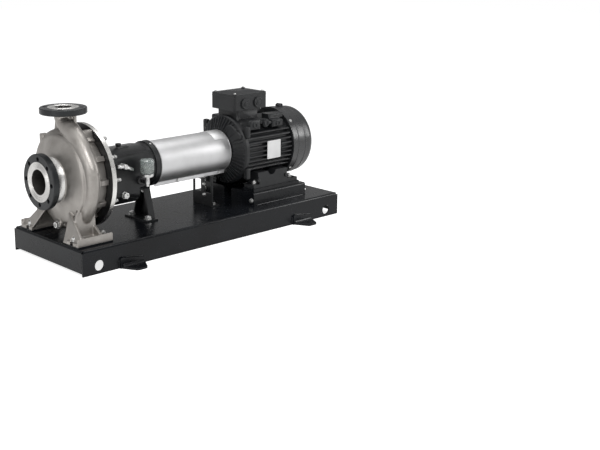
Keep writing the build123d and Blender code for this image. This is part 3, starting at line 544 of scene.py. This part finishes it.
def finished(name, slot, shape, nodes, smooth, *finishes):
    """Object of a shape in some finishes, or else in that of its slot, riding on the set."""
    mesh = bpy.data.meshes.new(name)
    shape.to_mesh(mesh)
    shape.free()
    for finish in finishes or [SLOT_FINISH[slot]]:
        mesh.materials.append(finish)
    mesh.shade_smooth()
    mesh.set_sharp_from_angle(angle=radians(smooth))
    piece = new_object(name, mesh)
    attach(piece, "root")
    if nodes:
        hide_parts(*nodes)


def taken_from(mesh):
    """Shape of a passing mesh, which is then removed."""
    shape = bmesh.new()
    shape.from_mesh(mesh)
    bpy.data.meshes.remove(mesh)
    return shape


def merged(node):
    """Closed copy of a part of the frame."""
    shape = bmesh.new()
    shape.from_mesh(frame["nodes"][node].data)
    bmesh.ops.remove_doubles(shape, verts=shape.verts, dist=2e-5)
    bmesh.ops.dissolve_limit(shape, angle_limit=radians(0.8), verts=shape.verts, edges=shape.edges)
    return shape


def islands(node):
    """Low corner, high corner and middle of each separate solid, in order of their middles."""
    shape = merged(node)
    left = set(shape.verts)
    boxes = []
    while left:
        reached = [left.pop()]
        low, high = reached[0].co.copy(), reached[0].co.copy()
        while reached:
            corner = reached.pop()
            low = Vector(map(min, low, corner.co))
            high = Vector(map(max, high, corner.co))
            for edge in corner.link_edges:
                other = edge.other_vert(corner)
                if other in left:
                    left.remove(other)
                    reached.append(other)
        boxes.append((low, high, (low + high) / 2))
    shape.free()
    return sorted(boxes, key=lambda box: [round(part, 4) for part in box[2]])


def swept(points, size, sides=8):
    """Round bar along a line of points in metres."""
    curve = bpy.data.curves.new("line", "CURVE")
    curve.dimensions = "3D"
    curve.bevel_depth = size / 2 * MM
    curve.bevel_resolution = max(1, sides // 4 - 1)
    curve.use_fill_caps = True
    spline = curve.splines.new("POLY")
    spline.points.add(len(points) - 1)
    for knot, point in zip(spline.points, points):
        knot.co = (*point, 1)
    line = bpy.data.objects.new("line", curve)
    shape = taken_from(bpy.data.meshes.new_from_object(line))
    bmesh.ops.remove_doubles(shape, verts=shape.verts, dist=1e-6)
    bmesh.ops.recalc_face_normals(shape, faces=shape.faces)
    bpy.data.objects.remove(line)
    bpy.data.curves.remove(curve)
    return shape


def bead(start, end, size):
    """Weld bead between two points in metres, with a ripple along it."""
    ripple = size * 0.45 * MM
    way = end - start
    count = max(2, int(way.length / ripple))
    shape = swept([start + way * (step / count) for step in range(count + 1)], size)
    mean = way.normalized()
    for corner in shape.verts:
        reach = (corner.co - start).dot(mean)
        axis = start + mean * reach
        corner.co = axis + (corner.co - axis) * (1 + 0.13 * sin(reach / ripple * pi))
    return shape


def arc_band(outline, first, sweep, steps):
    """Part of a ring about Z from a closed outline of (radius, height), its ends closed."""
    shape = bmesh.new()
    corners = [shape.verts.new((radius * MM, 0, height * MM)) for radius, height in outline]
    face = shape.faces.new(corners)
    bmesh.ops.rotate(shape, verts=corners, cent=(0, 0, 0), matrix=Matrix.Rotation(radians(first), 3, "Z"))
    bmesh.ops.spin(
        shape, geom=[face, *face.edges, *corners], cent=(0, 0, 0), axis=(0, 0, 1),
        angle=radians(sweep), steps=steps, use_merge=False,
    )
    bmesh.ops.recalc_face_normals(shape, faces=shape.faces)
    return shape


def pulled(points, way):
    """Prism of a flat outline of points, pulled along a way."""
    shape = bmesh.new()
    face = shape.faces.new([shape.verts.new(point) for point in points])
    copied = bmesh.ops.extrude_face_region(shape, geom=[face])["geom"]
    moved = [item for item in copied if isinstance(item, bmesh.types.BMVert)]
    bmesh.ops.translate(shape, verts=moved, vec=way)
    bmesh.ops.recalc_face_normals(shape, faces=shape.faces)
    return shape


# Casing


def cast_body():
    """Casing and two webs, remeshed and smoothed like a casting."""
    web_root, web_top, web_foot, web_bend = 0.024, 0.047, 0.066, 0.5
    body = Piece()
    body.add(merged("pump_casing"))
    for side in (-1, 1):
        web = slab_at(118, 132, -500, 500, 485, 582)
        for corner in web.verts:
            outer = web_foot if corner.co.z < web_bend else web_top
            corner.co.y = side * (outer if corner.co.y > 0 else web_root)
        bmesh.ops.recalc_face_normals(web, faces=web.faces)
        body.add(web)
    mesh = bpy.data.meshes.new("casting_source")
    body.shape.to_mesh(mesh)
    body.shape.free()
    source = new_object("casting_source", mesh)
    remesh = source.modifiers.new("remesh", "REMESH")
    remesh.mode = "VOXEL"
    remesh.voxel_size = 0.0025
    smooth = source.modifiers.new("smooth", "SMOOTH")
    smooth.factor = 0.5
    smooth.iterations = 3
    source.modifiers.new("thin", "DECIMATE").ratio = 0.5
    graph = bpy.context.evaluated_depsgraph_get()
    shape = taken_from(bpy.data.meshes.new_from_object(source.evaluated_get(graph)))
    bpy.data.objects.remove(source)
    bpy.data.meshes.remove(mesh)
    sink_turned_places(shape)
    finished("casing_casting", "cast_stainless", shape, ["pump_casing"], 60)


def sink_turned_places(shape):
    """Draw the casting back behind the sealing faces and below the suction collar."""
    collar_start, collar_end = along(36), along(63)
    neck, collar, collar_gap = 0.055, 0.094, 0.0012
    near, gap = 0.002, 0.001
    for corner in shape.verts:
        place = corner.co
        side = Vector((0, place.y, place.z - SHAFT_Z))
        if place.x < SUCTION_X + near:
            place.x += gap
        if place.z > DISCHARGE_Z - near:
            place.z -= gap
        if collar_start < place.x < collar_end and neck < side.length < collar:
            place -= side.normalized() * collar_gap


def sealing_face(name, finish, place, steps, bore, rim, first, grooves, back):
    """Turned sealing face of a neck, with its grooves from a first radius on."""
    # Second finish: dark cast steel for the bore liner, painted shade
    piece = Piece(name, "machined_steel", finish, bore_painted_shade)
    face = [(bore - 0.6, 4), (bore - 0.6, 0.6), (bore, 0)]
    for groove in range(grooves):
        reach = first + groove * 2.2
        face += [(reach, 0), (reach + 0.7, 0.5), (reach + 1.4, 0)]
    face += [(rim - 0.6, 0), (rim, 0.6), (rim, back), (first, back)]
    piece.ring(face, steps, place)
    return piece


def machined_faces():
    """Both sealing faces with their bore liners, which are darkened as painted shade, and the suction collar.
    """
    inlet = on_shaft(0)
    piece = sealing_face(
        "turned_suction_face", lathe_face, inlet, 96, bore=50.8, rim=79, first=56, grooves=9, back=5.2,
    )
    collar = [
        (57.5, 37.5), (68.5, 37.5), (69.2, 38.2), (90.5, 60.6), (91.1, 62), (90.5, 64), (88.5, 65.5),
        (57.5, 65.5),
    ]
    piece.ring(collar, 96, inlet)
    # Bore liner in dark cast steel: painted shade inside the suction bore
    piece.ring([(49.2, 1.5), (50, 1.2), (50.8, 1.5), (50.8, 100), (49.2, 100)], 72, inlet, 1)
    piece.make(smooth=24)
    outlet = place_on((DISCHARGE_X, 0, DISCHARGE_Z), "-Z")
    piece = sealing_face(
        "turned_discharge_face", lathe_top, outlet, 80, bore=33.3, rim=61, first=38, grooves=8, back=5,
    )
    # Bore liner in dark cast steel: painted shade inside the discharge bore
    piece.ring([(31.6, 1.5), (32.5, 1.2), (33.3, 1.5), (33.3, 24), (31.6, 24)], 64, outlet, 1)
    piece.make(smooth=24)


def casing_plug():
    """Drain plug with its sealing ring at the foot of the casing."""
    low, high, middle = islands("casing_drain_plug")[0]
    ring = 2
    place = place_on((high.x, middle.y, middle.z), "-X", 12)
    piece = Piece("casing_plug")
    piece.add(washer(15.5, 9, ring), place)
    piece.add(socket_plug(24, (high.x - low.x) / MM - 3), place @ raised(ring))
    piece.make("casing_drain_plug")


def pump_foot_bolts():
    """Hold-down bolts of the pump's two feet, the front pair in the slots."""
    piece = Piece("pump_foot_bolts")
    for side in (-1, 1):
        for place, turn, tail in ((55, 10, 10), (180, 24, 6)):
            piece.bolt(FOOT_BOLT, spot(place, side * 157.5, 119), "Z", turn + 9 * side, tail)
    piece.make()


# Bearing bracket


def bracket_body():
    """Bearing bracket in paint, the rim of its bolting flange bare from the lathe."""
    shape = merged("bearing_bracket")
    low, high = map(along, FLANGE_RIM)
    inside_rim = 0.2055
    for face in shape.faces:
        middle = face.calc_center_median()
        reach = Vector((middle.y, middle.z - SHAFT_Z)).length
        if low < middle.x < high and reach > inside_rim and abs(face.normal.x) < 0.5:
            face.material_index = 1
    finished("bracket_body", "bracket_paint", shape, ["bearing_bracket"], 30, bracket_finish, lathe_face)


def cover_nuts():
    """Nuts, washers and stud ends round the bolting flange."""
    piece = Piece("cover_nuts")
    for number, (low, high, middle) in enumerate(islands("cover_bolts")):
        piece.bolt(COVER_NUT, (low.x, middle.y, middle.z), "X", number * 17, 24)
    piece.make("cover_bolts")


def bracket_details():
    """Bar on the crown, two rings at the guard's end, screws and a small plug."""
    piece = Piece("bracket_castings", "bracket_paint")
    tilt = Matrix.Translation((0, 0, SHAFT_Z)) @ Matrix.Rotation(radians(14), 4, "X")
    piece.add(slab_at(358, 412, -8, 8, 84, 93.5, 2.5), tilt)
    for place in (503, 523):
        ring = [(86.8, -2), (94.8, -2), (95.6, -1.2), (95.6, 1.2), (94.8, 2), (86.8, 2)]
        piece.ring(ring, 72, on_shaft(place))
    piece.make()
    piece = Piece("bracket_screws")
    for turn in (35, 145, 215, 325):
        point = spot(539.8, 0, SHAFT_HEIGHT) + outward(turn) * 0.076
        piece.add(socket_screw(11, 6), place_on(point, "X"))
    plug = [(0, 0), (4.5, 0), (4, 2.5), (2, 3.5), (0, 3.8)]
    piece.turn(plug, 16, place_on(spot(512, -38, 417.4), (0, -0.4, 0.92)))
    piece.make()


def bracket_plug():
    """Oil drain plug low on the housing, on its collar."""
    low, high, middle = islands("bracket_drain_plug")[0]
    collar = 5
    place = place_on((middle.x, high.y, middle.z), "-Y", 8)
    piece = Piece("bracket_plug")
    piece.turn([(0, 0), (14.5, 0), (14.5, 3.5), (13.8, 4.5), (10, collar), (0, collar)], 32, place)
    piece.add(socket_plug(24, (high.y - low.y) / MM - 6), place @ raised(collar))
    piece.make("bracket_drain_plug")


def filler_cap():
    """Vented filler cap with a grip rim."""
    low, high, middle = islands("oil_filler_cap")[0]
    tall = (high.z - low.z) / MM
    place = place_on((middle.x, middle.y, low.z))
    piece = Piece("filler_cap", "black_plastic")
    cap = [
        (0, 0), (8.5, 0), (8.5, tall * 0.32), (11.6, tall * 0.34), (12, tall * 0.42),
        (12, tall * 0.86), (11.2, tall * 0.97), (9.8, tall), (4.5, tall * 0.97), (0, tall * 0.97),
    ]
    piece.turn(cap, 40, place)
    piece.grips(20, 11.7, place, -0.6, 0.3, -0.7, 0.7, tall * 0.42, tall * 0.84)
    piece.make("oil_filler_cap")


def vent_tap():
    """Small ball cock on the housing: nipple, hexagon body, spout and lever."""
    larger = Matrix.Scale(1.2, 4)
    foot = spot(330, -84, 360)
    body = foot + Vector((0, -0.0264, 0))
    piece = Piece("vent_tap")
    pipe = place_on(foot, "-Y") @ larger
    piece.turn([(0, 0), (8.5, 0), (8.5, 4), (6.2, 5), (6.2, 12), (0, 12)], 28, pipe)
    piece.add(hexagon(16, 10, 0.6), pipe @ raised(9))
    piece.turn([(0, 18), (7.8, 18), (9, 21), (9, 27), (7.8, 30), (0, 30)], 28, pipe)
    spout = [
        (0, 0), (6.2, 0), (6.2, 16), (7.2, 16.5), (7.2, 22), (6, 23.5), (6, 31), (4.2, 31), (4.2, 24),
        (0, 24),
    ]
    piece.turn(spout, 24, place_on(body, (-1, 0, 0.10)) @ larger)
    blade = slab(-6.5, 6.5, -2.6, 2.6, 2, 36.5, 1.8)
    root, run = 0.004, 0.0315
    for corner in blade.verts:
        corner.co.x *= 1.0 - 0.3 * max(0.0, (corner.co.z - root) / run)
    lever = place_on(body, (1, 0, -0.42)) @ larger
    piece.add(blade, lever @ Matrix.Rotation(radians(62), 4, "Z"))
    pin = [(0, -2), (5, -2), (5, 2.5), (4, 3.5), (0, 3.5)]
    piece.turn(pin, 20, place_on(body + Vector((0, -0.0066, 0)), "-Y") @ larger)
    piece.make("vent_cock")


def oiler():
    """Constant level oiler: clear bottle with oil, metal base with its rod, and elbow."""
    low, high, middle = islands("oiler_bottle")[0]
    tall = (high.z - low.z) / MM
    level = tall * 0.42
    place = place_on((middle.x, middle.y, low.z))
    wall = [
        (0.5, tall), (19, tall), (25.5, tall - 1.8), (28.2, tall - 6), (28.8, tall - 12), (28.8, 10),
        (27.8, 4.5), (24.5, 1), (22, 0.2), (20, 2.2), (23.8, 3.5), (26.2, 7.5), (26.6, 12), (26.6, tall - 12),
        (25.8, tall - 6.8), (23.5, tall - 4), (19, tall - 2.4), (0.5, tall - 2.4),
    ]
    piece = Piece("oiler_glass", "clear_bottle")
    piece.ring(wall, 56, place)
    piece.make("oiler_bottle", smooth=40)
    filling = [
        (0, 4.5), (22.5, 5), (25.5, 8.5), (25.9, 12), (25.9, level), (25, level - 0.4), (0, level - 0.6),
    ]
    piece = Piece("oiler_oil", "clear_bottle", oil)
    piece.turn(filling, 48, place)
    piece.make(smooth=40)
    low, high, middle = islands("oiler_base")[0]
    deep = (high.z - low.z) / MM
    place = place_on((middle.x, middle.y, low.z))
    base = [
        (0, 0), (8.5, 0), (12, 0.6), (22.5, 3), (25.2, 4.5), (26, 6.2), (26, deep - 2), (25.2, deep - 0.6),
        (22.5, deep), (0, deep),
    ]
    rod = [(0, deep), (3.2, deep), (3.2, deep + 26), (5.5, deep + 28), (5.5, deep + 34), (0, deep + 35)]
    piece = Piece("oiler_metal")
    piece.turn(base, 56, place)
    piece.grips(30, 25.6, place, -0.6, 0.4, -1.1, 1.1, 6.6, deep - 2.8)
    piece.turn(rod, 20, place)
    piece.add(washer(15, 4, 1.6), place @ raised(deep + tall - 4.2))
    piece.make("oiler_base")
    oiler_elbow(middle.y, low.z)


def oiler_elbow(column_y, top_z):
    """Elbow from the housing to the oiler's metal base: gland, bent pipe and column."""
    x, pipe_z = along(OILER_PLACE), SHAFT_Z - 0.044
    foot_z = pipe_z - 0.0165
    bend, in_gland, in_base = 0.012, 0.010, 0.006
    wall_y = islands("oiler_elbow")[0][1].y
    piece = Piece("oiler_pipe", "black_plastic", dark_plastic, zinc)
    gland = [(0, 0), (17, 0), (17, 11), (15.5, 12.5), (10.5, 13), (0, 13)]
    piece.turn(gland, 36, place_on((x, wall_y, pipe_z), "-Y"))
    line = [Vector((x, wall_y - in_gland, pipe_z))]
    for step in range(9):
        turn = radians(step * 90 / 8)
        line.append(Vector((x, column_y + bend - bend * sin(turn), pipe_z + bend - bend * cos(turn))))
    line.append(Vector((x, column_y, top_z - in_base)))
    piece.add(swept(line, 16.6, 20))
    tall = (top_z - foot_z) / MM
    column = [
        (0, 0), (6.2, 0), (7, 0.8), (7, 7.5), (9.6, 8), (10, 9), (10, tall - 12), (9.4, tall - 11),
        (9.4, tall), (0, tall),
    ]
    piece.turn(column, 28, place_on((x, column_y, foot_z)), 1)
    piece.make("oiler_elbow", smooth=40)


def support_leg_bolts():
    """Hold-down bolts of the support leg and the bolt at its head."""
    piece = Piece("support_bolts")
    for side in (-1, 1):
        piece.bolt(LEG_BOLT, spot(480, side * 54, 106), "Z", 20 * side, 4)
    piece.bolt(SEAT_BOLT, spot(501, 0, 219.9), "-Z", 5)
    piece.make()


# Coupling guard


def guard_trim():
    """Rolled rims, overlapping hood, lip seams and lip screws of the coupling guard."""
    line = on_shaft(GUARD_START)
    from_down = line.to_3x3().inverted() @ Vector((0, 0, -1))
    down = Vector((1, 0)).angle_signed(from_down.xy) * -180 / pi
    rim = [(87.2, 0.4), (95.5, 0.4), (96.6, 1.2), (96.8, 2.6), (96, 3.8), (90, 4.4), (87.2, 4.4)]
    back = [(87.2, 381.8), (90.6, 381.8), (91.2, 383), (90.6, 384.6), (87.2, 384.6)]
    hood = [(90.1, 312), (91.4, 312.2), (91.6, 312.6), (91.6, 385.2), (90.1, 385.6)]
    piece = Piece("guard_trim", "guard_steel")
    for outline, first, sweep, steps in ((rim, 27, 306, 96), (back, 27, 306, 96), (hood, 134, 92, 40)):
        piece.add(arc_band(outline, down + first, sweep, steps), line)
    for side in (-1, 1):
        piece.add(slab_at(528, 910, side * 40.5 - 1.2, side * 40.5 + 1.2, 235.1, 236.8, 0.7))
    piece.make()
    piece = Piece("guard_screws")
    for side, way in SIDES:
        for place in (650, 880):
            piece.bolt(LIP_SCREW, spot(place, side * 41.6, 243.5), way, place)
    piece.make()


def guard_stand_bolts():
    """Bolts of the guard's stand: three in its strap and two in its foot."""
    piece = Piece("guard_stand_bolts")
    for height in (231, 195, 147):
        piece.bolt(STRAP_BOLT, spot(821.4, -14, height), "-X", height)
    for side in (-44, 44):
        piece.bolt(STAND_BOLT, spot(846, side, 105), "Z", side)
    piece.make()


# Motor


def motor_body():
    """Finned motor body with its side pads rounded as cast."""
    shape = merged("motor_frame")
    first, last = map(along, SIDE_PADS)
    inner, low, high, body = 0.060, 0.4205, 0.4775, 0.152
    sharp, shortest = radians(50), 0.018

    def on_pad(place):
        """True for a corner of a side pad, out from the round body."""
        reach = Vector((place.y, place.z - SHAFT_Z)).length
        return first < place.x < last and abs(place.y) > inner and low < place.z < high and reach > body

    edges = [
        edge for edge in shape.edges
        if edge.is_manifold and edge.calc_face_angle(0) > sharp and edge.calc_length() > shortest
        and all(on_pad(corner.co) for corner in edge.verts)
    ]
    round_off(shape, edges, 7, 3, limited=False)
    finished("motor_body", "motor_paint", shape, ["motor_frame"], 30)


def side_pad_bosses():
    """Round bosses, blind screws and short ribs on the motor's side pads."""
    piece = Piece("side_pad_bosses", "motor_paint")
    pad_y = 127.6
    for side, way in SIDES:
        for x, z, r in ((1016, 445, 13), (1082, 448, 14), (1153, 440, 12)):
            boss = [(0, -4), (r, -4), (r, 3), (r - 1.5, 4.5), (r * 0.62, 4.5), (r * 0.56, 1.5), (0, 1.5)]
            piece.turn(boss, 32, place_on(spot(x, side * pad_y, z), way))
        for x, z in ((995, 458), (1038, 432), (1130, 432), (1176, 448)):
            blind = [(0, -4), (6.5, -4), (6, 1.2), (0, 1.6)]
            piece.turn(blind, 20, place_on(spot(x, side * pad_y, z), way))
    piece.make()
    piece = Piece("side_pad_ribs", "motor_paint")
    for side in (-1, 1):
        for x0, x1, z in ((1052, 1072, 452), (1094, 1118, 446)):
            piece.add(slab_at(x0, x1, *on_side(side, 95, 124), z - 6, z + 6, 3))
    piece.make()


def shield_pad():
    """Flat three cornered pad that closes a few ribs of the drive end shield."""
    rounds = ((-60, 436, 14), (-117, 401, 11), (-76, 392, 12))
    outline = []
    for number, (y, z, radius) in enumerate(rounds):
        before, after = rounds[number - 1], rounds[(number + 1) % 3]
        start = atan2(z - before[1], y - before[0]) - pi / 2
        end = atan2(after[1] - z, after[0] - y) - pi / 2
        sweep = (end - start) % (2 * pi)
        for step in range(7):
            turn = start + sweep * step / 6
            outline.append(spot(946, y + radius * cos(turn), z + radius * sin(turn)))
    pad = rounded(pulled(outline, (-0.034, 0, 0)), 3, 2, 60)
    for corner in pad.verts:
        reach = Vector((corner.co.y, corner.co.z - SHAFT_Z)).length
        slope_front(corner, 940, reach, 0.48)
    return pad


def slope_front(corner, limit, reach, slope):
    """Draw a front corner of the shield back, more with its distance from the shaft's line."""
    hub = 0.102
    if corner.co.x < along(limit):
        corner.co.x += slope * max(0.0, reach - hub)


def shield_details(piece):
    """Pad, finer ribs, ears and joint band of the drive end shield."""
    count, under_pad = 24, (2, 3)
    piece.add(shield_pad())
    for step in range(count):
        if step in under_pad:
            continue
        rib = slab_at(913, 946, -2.6, 2.6, 92, 145.2, 1.2)
        for corner in rib.verts:
            slope_front(corner, 930, corner.co.z, 0.5)
        turn = Matrix.Rotation(2 * pi * (step + 0.5) / count, 4, "X")
        piece.add(rib, Matrix.Translation((0, 0, SHAFT_Z)) @ turn)
    for side in (-1, 1):
        for z in (214, 396):
            piece.add(slab_at(950, 973, *on_side(side, 122, 148), z, z + 50, 6, 3))
    band = [(149.5, -3.5), (151.2, -3), (151.6, 0), (151.2, 3), (149.5, 3.5)]
    piece.ring(band, 96, on_shaft(SHIELD_JOINT))


def motor_details():
    """Cast details of the motor's shield, the fan cover's lug with its eye, nubs."""
    piece = Piece("motor_castings", "motor_paint")
    shield_details(piece)
    piece.add(slab_at(1268, 1298, -11, 11, 480, 496.5, 4))
    piece.ring([(4.8, -12), (8.5, -12), (8.5, 12), (4.8, 12)], 28, place_on(spot(1283, 0, 490), "Y"))
    for side, way in SIDES:
        for place in (1012, 1178):
            nub = [(0, 0), (9, 0), (8.2, 4), (6, 5.5), (0, 5.5)]
            piece.turn(nub, 24, place_on(spot(place, side * 154.6, 205), way))
    piece.make()


def fan_cover_trim():
    """Raised rings, swages, rim and screws of the fan cover."""
    piece = Piece("fan_cover_rings", "motor_paint", cover_finish)
    for r in (108.5, 113.5):
        piece.ring([(r - 1.2, -3), (r - 0.8, -0.4), (r + 0.8, -0.4), (r + 1.2, -3)], 96, on_shaft(COVER_END))
    for place, r in ((1262, 156), (1306, 153.8)):
        piece.ring([(r - 2, -4), (r, -3), (r + 0.7, 0), (r, 3), (r - 2, 4)], 96, on_shaft(place))
    piece.ring([(156.2, 0), (157.4, 0.6), (157.6, 3), (157, 4.6), (156.2, 5)], 96, on_shaft(COVER_RIM))
    piece.make()
    piece = Piece("fan_cover_screws")
    for turn in (43, 137, 223, 317):
        way = outward(turn)
        place = place_on(spot(COVER_SCREWS, 0, SHAFT_HEIGHT) + way * 0.1566, way)
        piece.add(washer(7.2, 3, 1), place)
        piece.add(hexagon(9.5, 4.2, 0.4), place @ raised(1))
    piece.make()


def motor_bolts():
    """Hold-down bolts of the motor's feet, and bolts in the ends of its rails."""
    piece = Piece("motor_bolts")
    for side in (-1, 1):
        for place in (1013, 1223):
            piece.bolt(MOTOR_BOLT, spot(place, side * 127, 186), "Z", place, 6)
        for place, way, turn in ((969, "-X", 14), (1286, "X", 32)):
            piece.bolt(RAIL_BOLT, spot(place, side * 158, 121), way, turn)
    piece.make()


def box_details():
    """Gasket, lid screws on their bosses, lid knob and side ridges of the terminal box."""
    gasket = Piece("box_gasket", "black_plastic")
    gasket.add(slab_at(943.2, 1129.8, -77.2, 77.2, 564.2, 566.2, 0.6))
    gasket.make()
    screws = Piece("box_screws")
    castings = Piece("box_castings", "motor_paint")
    boss = [(0, -6), (10.5, -6), (10.5, 1.2), (9.8, 2), (0, 2)]
    knob = [(0, 0), (8, 0), (7.8, 3), (6, 4.8), (0, 5)]
    for side in (-1, 1):
        for place in (955, 1118):
            castings.turn(boss, 28, place_on(spot(place, side * 64, 577.4)))
            screws.add(socket_screw(10.5, 5), place_on(spot(place, side * 64, 579.4), "Z", place))
        castings.add(slab_at(962, 1111, side * 77.6 - 0.6, side * 77.6 + 0.6, 548, 550.5, 0.5))
    castings.turn(knob, 24, place_on(spot(1079, 21, 584.6)))
    castings.make()
    screws.make()


def entry_plugs():
    """Round plugs with a grip bar and a ribbed rim in the terminal box's cable entries."""
    piece = Piece("entry_plugs", "motor_paint", motor_finish, dark_plastic)
    for low, high, middle in islands("cable_plugs"):
        near = middle.y < 0
        deep, reach = (high.y - low.y) / MM, (high.x - low.x) / 2 / MM
        place = place_on((middle.x, high.y if near else low.y, middle.z), "-Y" if near else "Y")
        plug = [
            (0, 0), (reach, 0), (reach, deep * 0.62), (reach - 1.5, deep * 0.78), (reach * 0.84, deep * 0.80),
            (reach * 0.80, deep * 0.72), (reach * 0.40, deep * 0.72), (reach * 0.36, deep * 0.98),
            (reach * 0.33, deep), (0, deep),
        ]
        piece.turn(plug, 48, place)
        bar = slab(-reach * 0.60, reach * 0.60, -2.8, 2.8, deep * 0.70, deep * 0.985, 0.8)
        piece.add(bar, place @ Matrix.Rotation(radians(35), 4, "Z"))
        piece.grips(24, reach - 0.4, place, -0.6, 0.4, -1.2, 1.2, deep * 0.1, deep * 0.6)
    piece.make("cable_plugs")


def plate_rivets():
    """Four dome rivets on the bare rating plate."""
    low, high, middle = islands("motor_nameplate")[0]
    inset = 0.006
    piece = Piece("plate_rivets")
    for x in (low.x + inset, high.x - inset):
        for z in (low.z + inset, high.z - inset):
            dome = [(0, 0), (2.4, 0), (2.1, 0.8), (1.2, 1.3), (0, 1.5)]
            piece.turn(dome, 14, place_on((x, low.y + 0.0002, z), "-Y"))
    piece.make(smooth=50)


# Base


def lug_bend(x, side):
    """Quarter round strip in the bend between an anchor lug and the base's side."""
    radius, wall, height, half = 0.010, side * 0.2532, 0.0079, 0.050
    corners = [(0, 0), (0, radius)]
    for step in range(7):
        angle = radians(90 * step / 6)
        corners.append((radius - radius * cos(angle), radius - radius * sin(angle)))
    return pulled([(x - half, wall + side * y, height + z) for y, z in corners], (2 * half, 0, 0))


def base_details():
    """Bend strips and weld beads of the anchor lugs, welds of the rails and feet."""
    piece = Piece("base_welds", "base_paint")
    lug_runs = (
        ((-0.0615, 0.006), (-0.0615, 0.036)),
        ((0.0615, 0.006), (0.0615, 0.020)),
        ((-0.050, 0.0445), (0.050, 0.0295)),
    )
    for lug in (-0.47, 0.47):
        for side in (-1, 1):
            piece.add(lug_bend(lug, side))
            for ends in lug_runs:
                start, end = (Vector((lug + x, side * 0.2455, z)) for x, z in ends)
                piece.add(bead(start, end, 6))
    for side in (-1, 1):
        for y in (24, 172):
            piece.add(bead(spot(985, side * y, 101), spot(1270, side * y, 101), 5))
        for place in (456, 516):
            piece.add(bead(spot(place, side * 70, 101.2), spot(place, side * 30, 101.2), 5))
    piece.make(smooth=50)


# Camera, room and light


def aim_camera():
    """Camera at the photograph's place."""
    data = bpy.data.cameras.new("photo_camera")
    data.lens = CAMERA_LENS
    data.sensor_width = 36
    data.shift_x, data.shift_y = CAMERA_SHIFT
    camera = new_object("photo_camera", data)
    yaw, pitch = radians(CAMERA_YAW), radians(CAMERA_PITCH)
    forward = Vector((cos(yaw) * cos(pitch), sin(yaw) * cos(pitch), -sin(pitch)))
    camera.rotation_euler = forward.to_track_quat("-Z", "Y").to_euler()
    camera.location = CAMERA_PLACE
    bpy.context.scene.camera = camera


def area_light(name, place, target, size, power):
    """Soft lamp that faces a point of the object."""
    data = bpy.data.lights.new(name, "AREA")
    data.shape = "RECTANGLE"
    data.size, data.size_y = size
    data.energy = power
    lamp = new_object(name, data)
    lamp.location = place
    lamp.rotation_euler = (Vector(target) - Vector(place)).to_track_quat("-Z", "Y").to_euler()


def by_ray(tree, camera, mirror, soft):
    """Level for what the camera sees, what a mirror or glass sees, and soft light."""
    ray = tree.add("ShaderNodeLightPath").outputs
    either = tree.maths("MAXIMUM", ray["Is Glossy Ray"], ray["Is Transmission Ray"])
    level = tree.mix(either, soft, mirror, "FLOAT")
    return tree.mix(ray["Is Camera Ray"], level, camera, "FLOAT")


def white_room():
    """White world whose brightness in mirrors changes with height."""
    world = bpy.data.worlds.new("studio")
    bpy.context.scene.world = world
    tree = Tree(world)
    way = tree.add("ShaderNodeTexCoord").outputs["Generated"]
    height = tree.add("ShaderNodeSeparateXYZ", {0: way}).outputs["Z"]
    low_band = tree.spread(height, 0.95, 0.25, 0.02, 0.28)
    high_band = tree.spread(height, 0.20, 0.75, 0.40, 0.80)
    background = tree.nodes["Background"].inputs
    tree.feed(background["Color"], (1, 1, 1))
    tree.feed(background["Strength"], by_ray(tree, 1.0, tree.maths("MAXIMUM", low_band, high_band), 0.38))


def pale_floor():
    """White floor that keeps the shadow of the object."""
    finish = Finish("pale_floor", (0.6, 0.6, 0.6), 0.0, 0.9)
    finish.use(
        Specular_IOR_Level=0.0, Emission_Color=(1, 1, 1), Emission_Strength=by_ray(finish, 0.80, 0.50, 0.0),
    )
    mesh = bpy.data.meshes.new("floor")
    shape = bmesh.new()
    bmesh.ops.create_grid(shape, x_segments=1, y_segments=1, size=12)
    shape.to_mesh(mesh)
    shape.free()
    mesh.materials.append(finish.material)
    new_object("floor", mesh)


def light_studio():
    """Pale floor, white room and soft lamps."""
    bpy.context.scene.view_settings.view_transform = "Standard"
    white_room()
    area_light("key", (-2.0, -2.6, 3.2), (0, 0, 0.3), (2.0, 1.4), 80)
    area_light("top", (0.2, 0.4, 3.4), (0, 0, 0.3), (3.0, 1.2), 45)
    area_light("front", (-3.2, -0.6, 1.2), (-0.3, 0, 0.3), (1.2, 1.6), 16)
    area_light("side", (3.0, -2.2, 1.6), (0.4, 0, 0.35), (0.8, 1.8), 38)
    pale_floor()


aim_camera()
light_studio()
dress_nodes()
cast_body()
machined_faces()
casing_plug()
pump_foot_bolts()
bracket_body()
cover_nuts()
bracket_details()
bracket_plug()
filler_cap()
vent_tap()
oiler()
support_leg_bolts()
guard_trim()
guard_stand_bolts()
motor_body()
side_pad_bosses()
motor_details()
fan_cover_trim()
motor_bolts()
box_details()
entry_plugs()
plate_rivets()
base_details()
